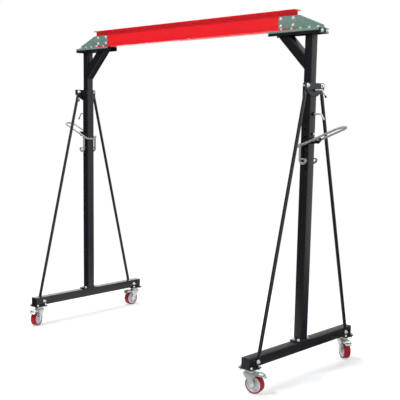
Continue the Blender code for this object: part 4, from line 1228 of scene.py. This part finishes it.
def build_brakes():
    """Two-tier brake covers over the treads, on a pin through the fork."""
    for name, _, _, swivel in casters():
        x, z = PEDAL_PIN
        bm = bmesh.new()
        hood = [(x - 0.0045, z), (x + 0.0110, z + 0.0004), (x + 0.0150, z + 0.0040), (x + 0.0170, z + 0.0095),
                (x + 0.0215, z + 0.0135), (x + 0.0290, z + 0.0155), (x + 0.0400, z + 0.0158),
                (x + 0.0490, z + 0.0135), (x + 0.0545, z + 0.0090), (x + 0.0565, z + 0.0040)]
        add_skin(bm, [[swivel @ p for p in ring] for ring in pedal_rings(hood, 0.0286, 0.0024, 0.0075)])
        lip = [(x + 0.0300, z + 0.0030), (x + 0.0420, z + 0.0015), (x + 0.0540, z - 0.0020),
               (x + 0.0640, z - 0.0065), (x + 0.0700, z - 0.0105), (x + 0.0750, z - 0.0125)]
        add_skin(bm, [[swivel @ p for p in ring] for ring in pedal_rings(lip, 0.0262, 0.0024, 0.0040)])
        for way in (-1, 1):
            arm = rounded([(x - 0.006, z - 0.006), (x + 0.008, z - 0.007), (x + 0.034, z - 0.0055),
                           (x + 0.056, z - 0.0050), (x + 0.055, z + 0.0035), (x + 0.034, z + 0.0090),
                           (x + 0.018, z + 0.0065), (x + 0.006, z + 0.0040), (x - 0.006, z + 0.0040)], 0.003)
            low, high = way * (FORK_INNER - 0.0072), way * (FORK_INNER - 0.0044)
            add_skin(bm, [[swivel @ Vector((a, y, b)) for a, b in arm] for y in (low, high)])
        pin = across_axle(swivel, x, z)
        end = FORK_INNER + FORK_CHEEK + 0.0015
        add_turned(bm, [(0, -end), (0.0045, -end + 0.0004), (0.0045, -end + 0.0014), (0.003, -end + 0.0015),
                        (0.003, end - 0.0015), (0.0045, end - 0.0014), (0.0045, end - 0.0004), (0, end)],
                   pin, 16)
        piece_of("brake_cover_" + name, bm, "pedal_" + name, zinc_plate(), ["brake_pedal_" + name],
                 crease=38)


# ---------------------------------------------------------------- stage

def seen_rays(tree):
    """1 for the rays that show the background: camera, glossy and transmission rays."""
    ray = node(tree, "ShaderNodeLightPath")
    seen = ray.outputs["Is Camera Ray"]
    for kind in ("Is Glossy Ray", "Is Transmission Ray"):
        seen = node(tree, "ShaderNodeMath", {"operation": "MAXIMUM"},
                    {0: seen, 1: ray.outputs[kind]}).outputs["Value"]
    return seen


def build_stage():
    """Pale floor, white surround, soft lamps, cards that shape the gloss, and the camera."""
    scene = bpy.context.scene
    scene.view_settings.view_transform = "Standard"
    scene.world = bpy.data.worlds.new("studio")
    scene.world.use_nodes = True
    tree = scene.world.node_tree
    tree.nodes.clear()
    seen = seen_rays(tree)
    white = node(tree, "ShaderNodeBackground", {"Color": (1, 1, 1, 1), "Strength": 1.0})
    fill = node(tree, "ShaderNodeBackground", {"Color": (0.93, 0.96, 1, 1), "Strength": 0.55})
    mix = node(tree, "ShaderNodeMixShader", {}, {0: seen, 1: fill.outputs[0], 2: white.outputs[0]})
    node(tree, "ShaderNodeOutputWorld", {}, {"Surface": mix.outputs[0]})

    bm = bmesh.new()
    add_skin(bm, [[(x, y, 0.0) for x, y in arc((0, 0), reach, 0, 2 * pi * 63 / 64, 63)]
                  for reach in (0.001, 40.0)], caps=False)
    floor = new_object("floor", mesh_of(bm, "floor"))
    floor.data.materials.append(floor_finish())

    for name, shine, bands in (
            ("dark_card", (0.055, 0.055, 0.062),
             ((((1.4, 0.004), (4.8, 0.004)), 0, 45),
              (((4.8, 0.004), (11.0, 0.01), (12.0, 1.0), (12.2, 12.0)), 170, 13),
              (((9.0, 3.1), (9.0, 9.0)), 100, 4))),
            ("bright_card", (2.6, 2.6, 2.6), ((((9.0, 0.3), (9.0, 3.2)), 134, 3),))):
        bm = bmesh.new()
        for reaches, start, count in bands:
            angles = [radians(start + CARD_STEP * k) for k in range(count + 1)]
            rings = [[(reach * cos(a), reach * sin(a), height) for a in angles]
                     for reach, height in reaches]
            for low, high in zip(rings, rings[1:]):
                for k in range(count):
                    corners = (low[k], low[k + 1], high[k + 1], high[k])
                    bm.faces.new([bm.verts.new(p) for p in corners])
        card = new_object(name, mesh_of(bm, name))
        card.data.materials.append(card_finish(name, shine))
        card.visible_camera = card.visible_diffuse = card.visible_shadow = False

    for name, spot, aim, power, size in (("key", (-2.6, 0.6, 6.4), (0.2, 0, 0.6), 300, 2.1),
                                         ("front", (-0.5, -5.0, 7.4), (0, 0, 1.6), 370, 1.6),
                                         ("side", (5.2, 1.6, 4.6), (0.4, 0, 1.2), 120, 2.4)):
        lamp = bpy.data.lights.new(name, "AREA")
        lamp.energy = power
        lamp.size = size
        made = new_object(name, lamp)
        made.location = spot
        made.rotation_euler = (Vector(aim) - Vector(spot)).to_track_quat("-Z", "Y").to_euler()

    lens = bpy.data.cameras.new("camera")
    lens.lens = CAMERA_LENS
    lens.sensor_width = 36.0
    lens.shift_x, lens.shift_y = CAMERA_SHIFT
    lens.clip_end = 200.0
    camera = new_object("camera", lens)
    yaw, pitch, roll = CAMERA_YAW, CAMERA_PITCH, CAMERA_ROLL
    ahead = Vector((sin(yaw) * cos(pitch), cos(yaw) * cos(pitch), sin(pitch)))
    level = Vector((cos(yaw), -sin(yaw), 0))
    lift = level.cross(ahead)
    right = level * cos(roll) + lift * sin(roll)
    up = lift * cos(roll) - level * sin(roll)
    turn = Matrix((right, up, -ahead)).transposed().to_4x4()
    camera.matrix_world = Matrix.Translation(CAMERA_PLACE) @ turn
    scene.camera = camera


def floor_finish():
    # Painted studio floor: matt and nearly white, with a soft shadow near the object and plain white far off.
    material = bpy.data.materials.new("matt floor paint")
    material.use_nodes = True
    tree = material.node_tree
    tree.nodes.clear()
    place = node(tree, "ShaderNodeTexCoord").outputs["Object"]
    away = node(tree, "ShaderNodeVectorMath", {"operation": "LENGTH"}, {0: place})
    far = node(tree, "ShaderNodeMapRange", {"From Min": 1.6, "From Max": 3.6, "To Min": 0.45, "To Max": 1.0},
               {"Value": away.outputs["Value"]})
    seen = seen_rays(tree)
    share = node(tree, "ShaderNodeMath", {"operation": "MULTIPLY"}, {0: seen, 1: far.outputs["Result"]})
    matt = node(tree, "ShaderNodeBsdfDiffuse", {"Color": (*colours().floor, 1.0)})
    plain = node(tree, "ShaderNodeEmission", {"Color": (1, 1, 1, 1), "Strength": 1.0})
    mix = node(tree, "ShaderNodeMixShader", {}, {0: share.outputs["Value"], 1: matt.outputs[0],
                                                2: plain.outputs[0]})
    node(tree, "ShaderNodeOutputMaterial", {}, {"Surface": mix.outputs[0]})
    return material


def card_finish(name, shine):
    # Studio card: only gloss sees it; the camera, the diffuse light and the shadows do not.
    material = bpy.data.materials.new(name + "_stock")
    material.use_nodes = True
    tree = material.node_tree
    tree.nodes.clear()
    plain = node(tree, "ShaderNodeEmission", {"Color": (*shine, 1), "Strength": 1.0})
    node(tree, "ShaderNodeOutputMaterial", {}, {"Surface": plain.outputs[0]})
    return material


# ---------------------------------------------------------------- operators and panel

class GANTRY_OT_stage(bpy.types.Operator):
    """Build the floor, surround, lamps and camera"""
    bl_idname = "gantry.stage"
    bl_label = "Stage"

    def execute(self, context):
        build_stage()
        return {"FINISHED"}


class GANTRY_OT_beam(bpy.types.Operator):
    """Build the rolled beam"""
    bl_idname = "gantry.beam"
    bl_label = "Rolled beam"

    def execute(self, context):
        build_beam()
        return {"FINISHED"}


class GANTRY_OT_upper_legs(bpy.types.Operator):
    """Build the telescoping legs and their struts"""
    bl_idname = "gantry.upper_legs"
    bl_label = "Upper legs and struts"

    def execute(self, context):
        build_upper_legs()
        return {"FINISHED"}


class GANTRY_OT_saddles(bpy.types.Operator):
    """Build the saddle angles and their end plates"""
    bl_idname = "gantry.saddles"
    bl_label = "Saddles"

    def execute(self, context):
        build_saddles()
        return {"FINISHED"}


class GANTRY_OT_gussets(bpy.types.Operator):
    """Build the gusset plates and their bolts"""
    bl_idname = "gantry.gussets"
    bl_label = "Gussets"

    def execute(self, context):
        build_gussets()
        return {"FINISHED"}


class GANTRY_OT_base_rails(bpy.types.Operator):
    """Build the base rails and their mount plates"""
    bl_idname = "gantry.base_rails"
    bl_label = "Base rails"

    def execute(self, context):
        build_base_rails()
        return {"FINISHED"}


class GANTRY_OT_lower_legs(bpy.types.Operator):
    """Build the outer legs, collar plates and welded nuts"""
    bl_idname = "gantry.lower_legs"
    bl_label = "Lower legs"

    def execute(self, context):
        build_lower_legs()
        return {"FINISHED"}


class GANTRY_OT_braces(bpy.types.Operator):
    """Build the flattened brace tubes"""
    bl_idname = "gantry.braces"
    bl_label = "Braces"

    def execute(self, context):
        build_braces()
        return {"FINISHED"}


class GANTRY_OT_frame_bolts(bpy.types.Operator):
    """Set the bolts of the side frames"""
    bl_idname = "gantry.frame_bolts"
    bl_label = "Frame bolts"

    def execute(self, context):
        build_frame_bolts()
        return {"FINISHED"}


class GANTRY_OT_levers(bpy.types.Operator):
    """Build the lifting levers"""
    bl_idname = "gantry.levers"
    bl_label = "Lifting levers"

    def execute(self, context):
        build_levers()
        return {"FINISHED"}


class GANTRY_OT_links(bpy.types.Operator):
    """Build the hook links"""
    bl_idname = "gantry.links"
    bl_label = "Hook links"

    def execute(self, context):
        build_links()
        return {"FINISHED"}


class GANTRY_OT_brackets(bpy.types.Operator):
    """Build the lever brackets"""
    bl_idname = "gantry.brackets"
    bl_label = "Lever brackets"

    def execute(self, context):
        build_brackets()
        return {"FINISHED"}


class GANTRY_OT_clamp_screws(bpy.types.Operator):
    """Build the clamp screws"""
    bl_idname = "gantry.clamp_screws"
    bl_label = "Clamp screws"

    def execute(self, context):
        build_clamp_screws()
        return {"FINISHED"}


class GANTRY_OT_index_bolts(bpy.types.Operator):
    """Build the sprung index bolts"""
    bl_idname = "gantry.index_bolts"
    bl_label = "Index bolts"

    def execute(self, context):
        build_index_bolts()
        return {"FINISHED"}


class GANTRY_OT_caster_plates(bpy.types.Operator):
    """Build the caster plates, races and seals"""
    bl_idname = "gantry.caster_plates"
    bl_label = "Caster plates"

    def execute(self, context):
        build_caster_plates()
        return {"FINISHED"}


class GANTRY_OT_forks(bpy.types.Operator):
    """Build the pressed forks and axle bolts"""
    bl_idname = "gantry.forks"
    bl_label = "Forks"

    def execute(self, context):
        build_forks()
        return {"FINISHED"}


class GANTRY_OT_wheels(bpy.types.Operator):
    """Build the wheel cores and treads"""
    bl_idname = "gantry.wheels"
    bl_label = "Wheels"

    def execute(self, context):
        build_wheels()
        return {"FINISHED"}


class GANTRY_OT_brakes(bpy.types.Operator):
    """Build the brake covers"""
    bl_idname = "gantry.brakes"
    bl_label = "Brakes"

    def execute(self, context):
        build_brakes()
        return {"FINISHED"}


STEPS = (GANTRY_OT_stage, GANTRY_OT_beam, GANTRY_OT_upper_legs, GANTRY_OT_saddles, GANTRY_OT_gussets,
         GANTRY_OT_base_rails, GANTRY_OT_lower_legs, GANTRY_OT_braces, GANTRY_OT_frame_bolts,
         GANTRY_OT_levers, GANTRY_OT_links, GANTRY_OT_brackets, GANTRY_OT_clamp_screws,
         GANTRY_OT_index_bolts, GANTRY_OT_caster_plates, GANTRY_OT_forks, GANTRY_OT_wheels,
         GANTRY_OT_brakes)


class GANTRY_PT_panel(bpy.types.Panel):
    """Sizes, colours and pieces of the gantry crane"""
    bl_idname = "GANTRY_PT_panel"
    bl_label = "Gantry crane"
    bl_space_type = "VIEW_3D"
    bl_region_type = "UI"
    bl_category = "Gantry"

    def draw(self, context):
        layout = self.layout
        for group in (context.scene.gantry_colours, context.scene.gantry_sizes):
            box = layout.box()
            for key in group.__annotations__:
                box.prop(group, key)
        for step in STEPS:
            layout.operator(step.bl_idname)


CLASSES = (GantryColours, GantrySizes, *STEPS, GANTRY_PT_panel)


def register():
    for made in CLASSES:
        bpy.utils.register_class(made)
    bpy.types.Scene.gantry_colours = bpy.props.PointerProperty(type=GantryColours)
    bpy.types.Scene.gantry_sizes = bpy.props.PointerProperty(type=GantrySizes)


def unregister():
    del bpy.types.Scene.gantry_sizes
    del bpy.types.Scene.gantry_colours
    for made in reversed(CLASSES):
        bpy.utils.unregister_class(made)


def main():
    register()
    for step in STEPS:
        group, name = step.bl_idname.split(".")
        getattr(getattr(bpy.ops, group), name)()


if __name__ == "__main__":
    main()
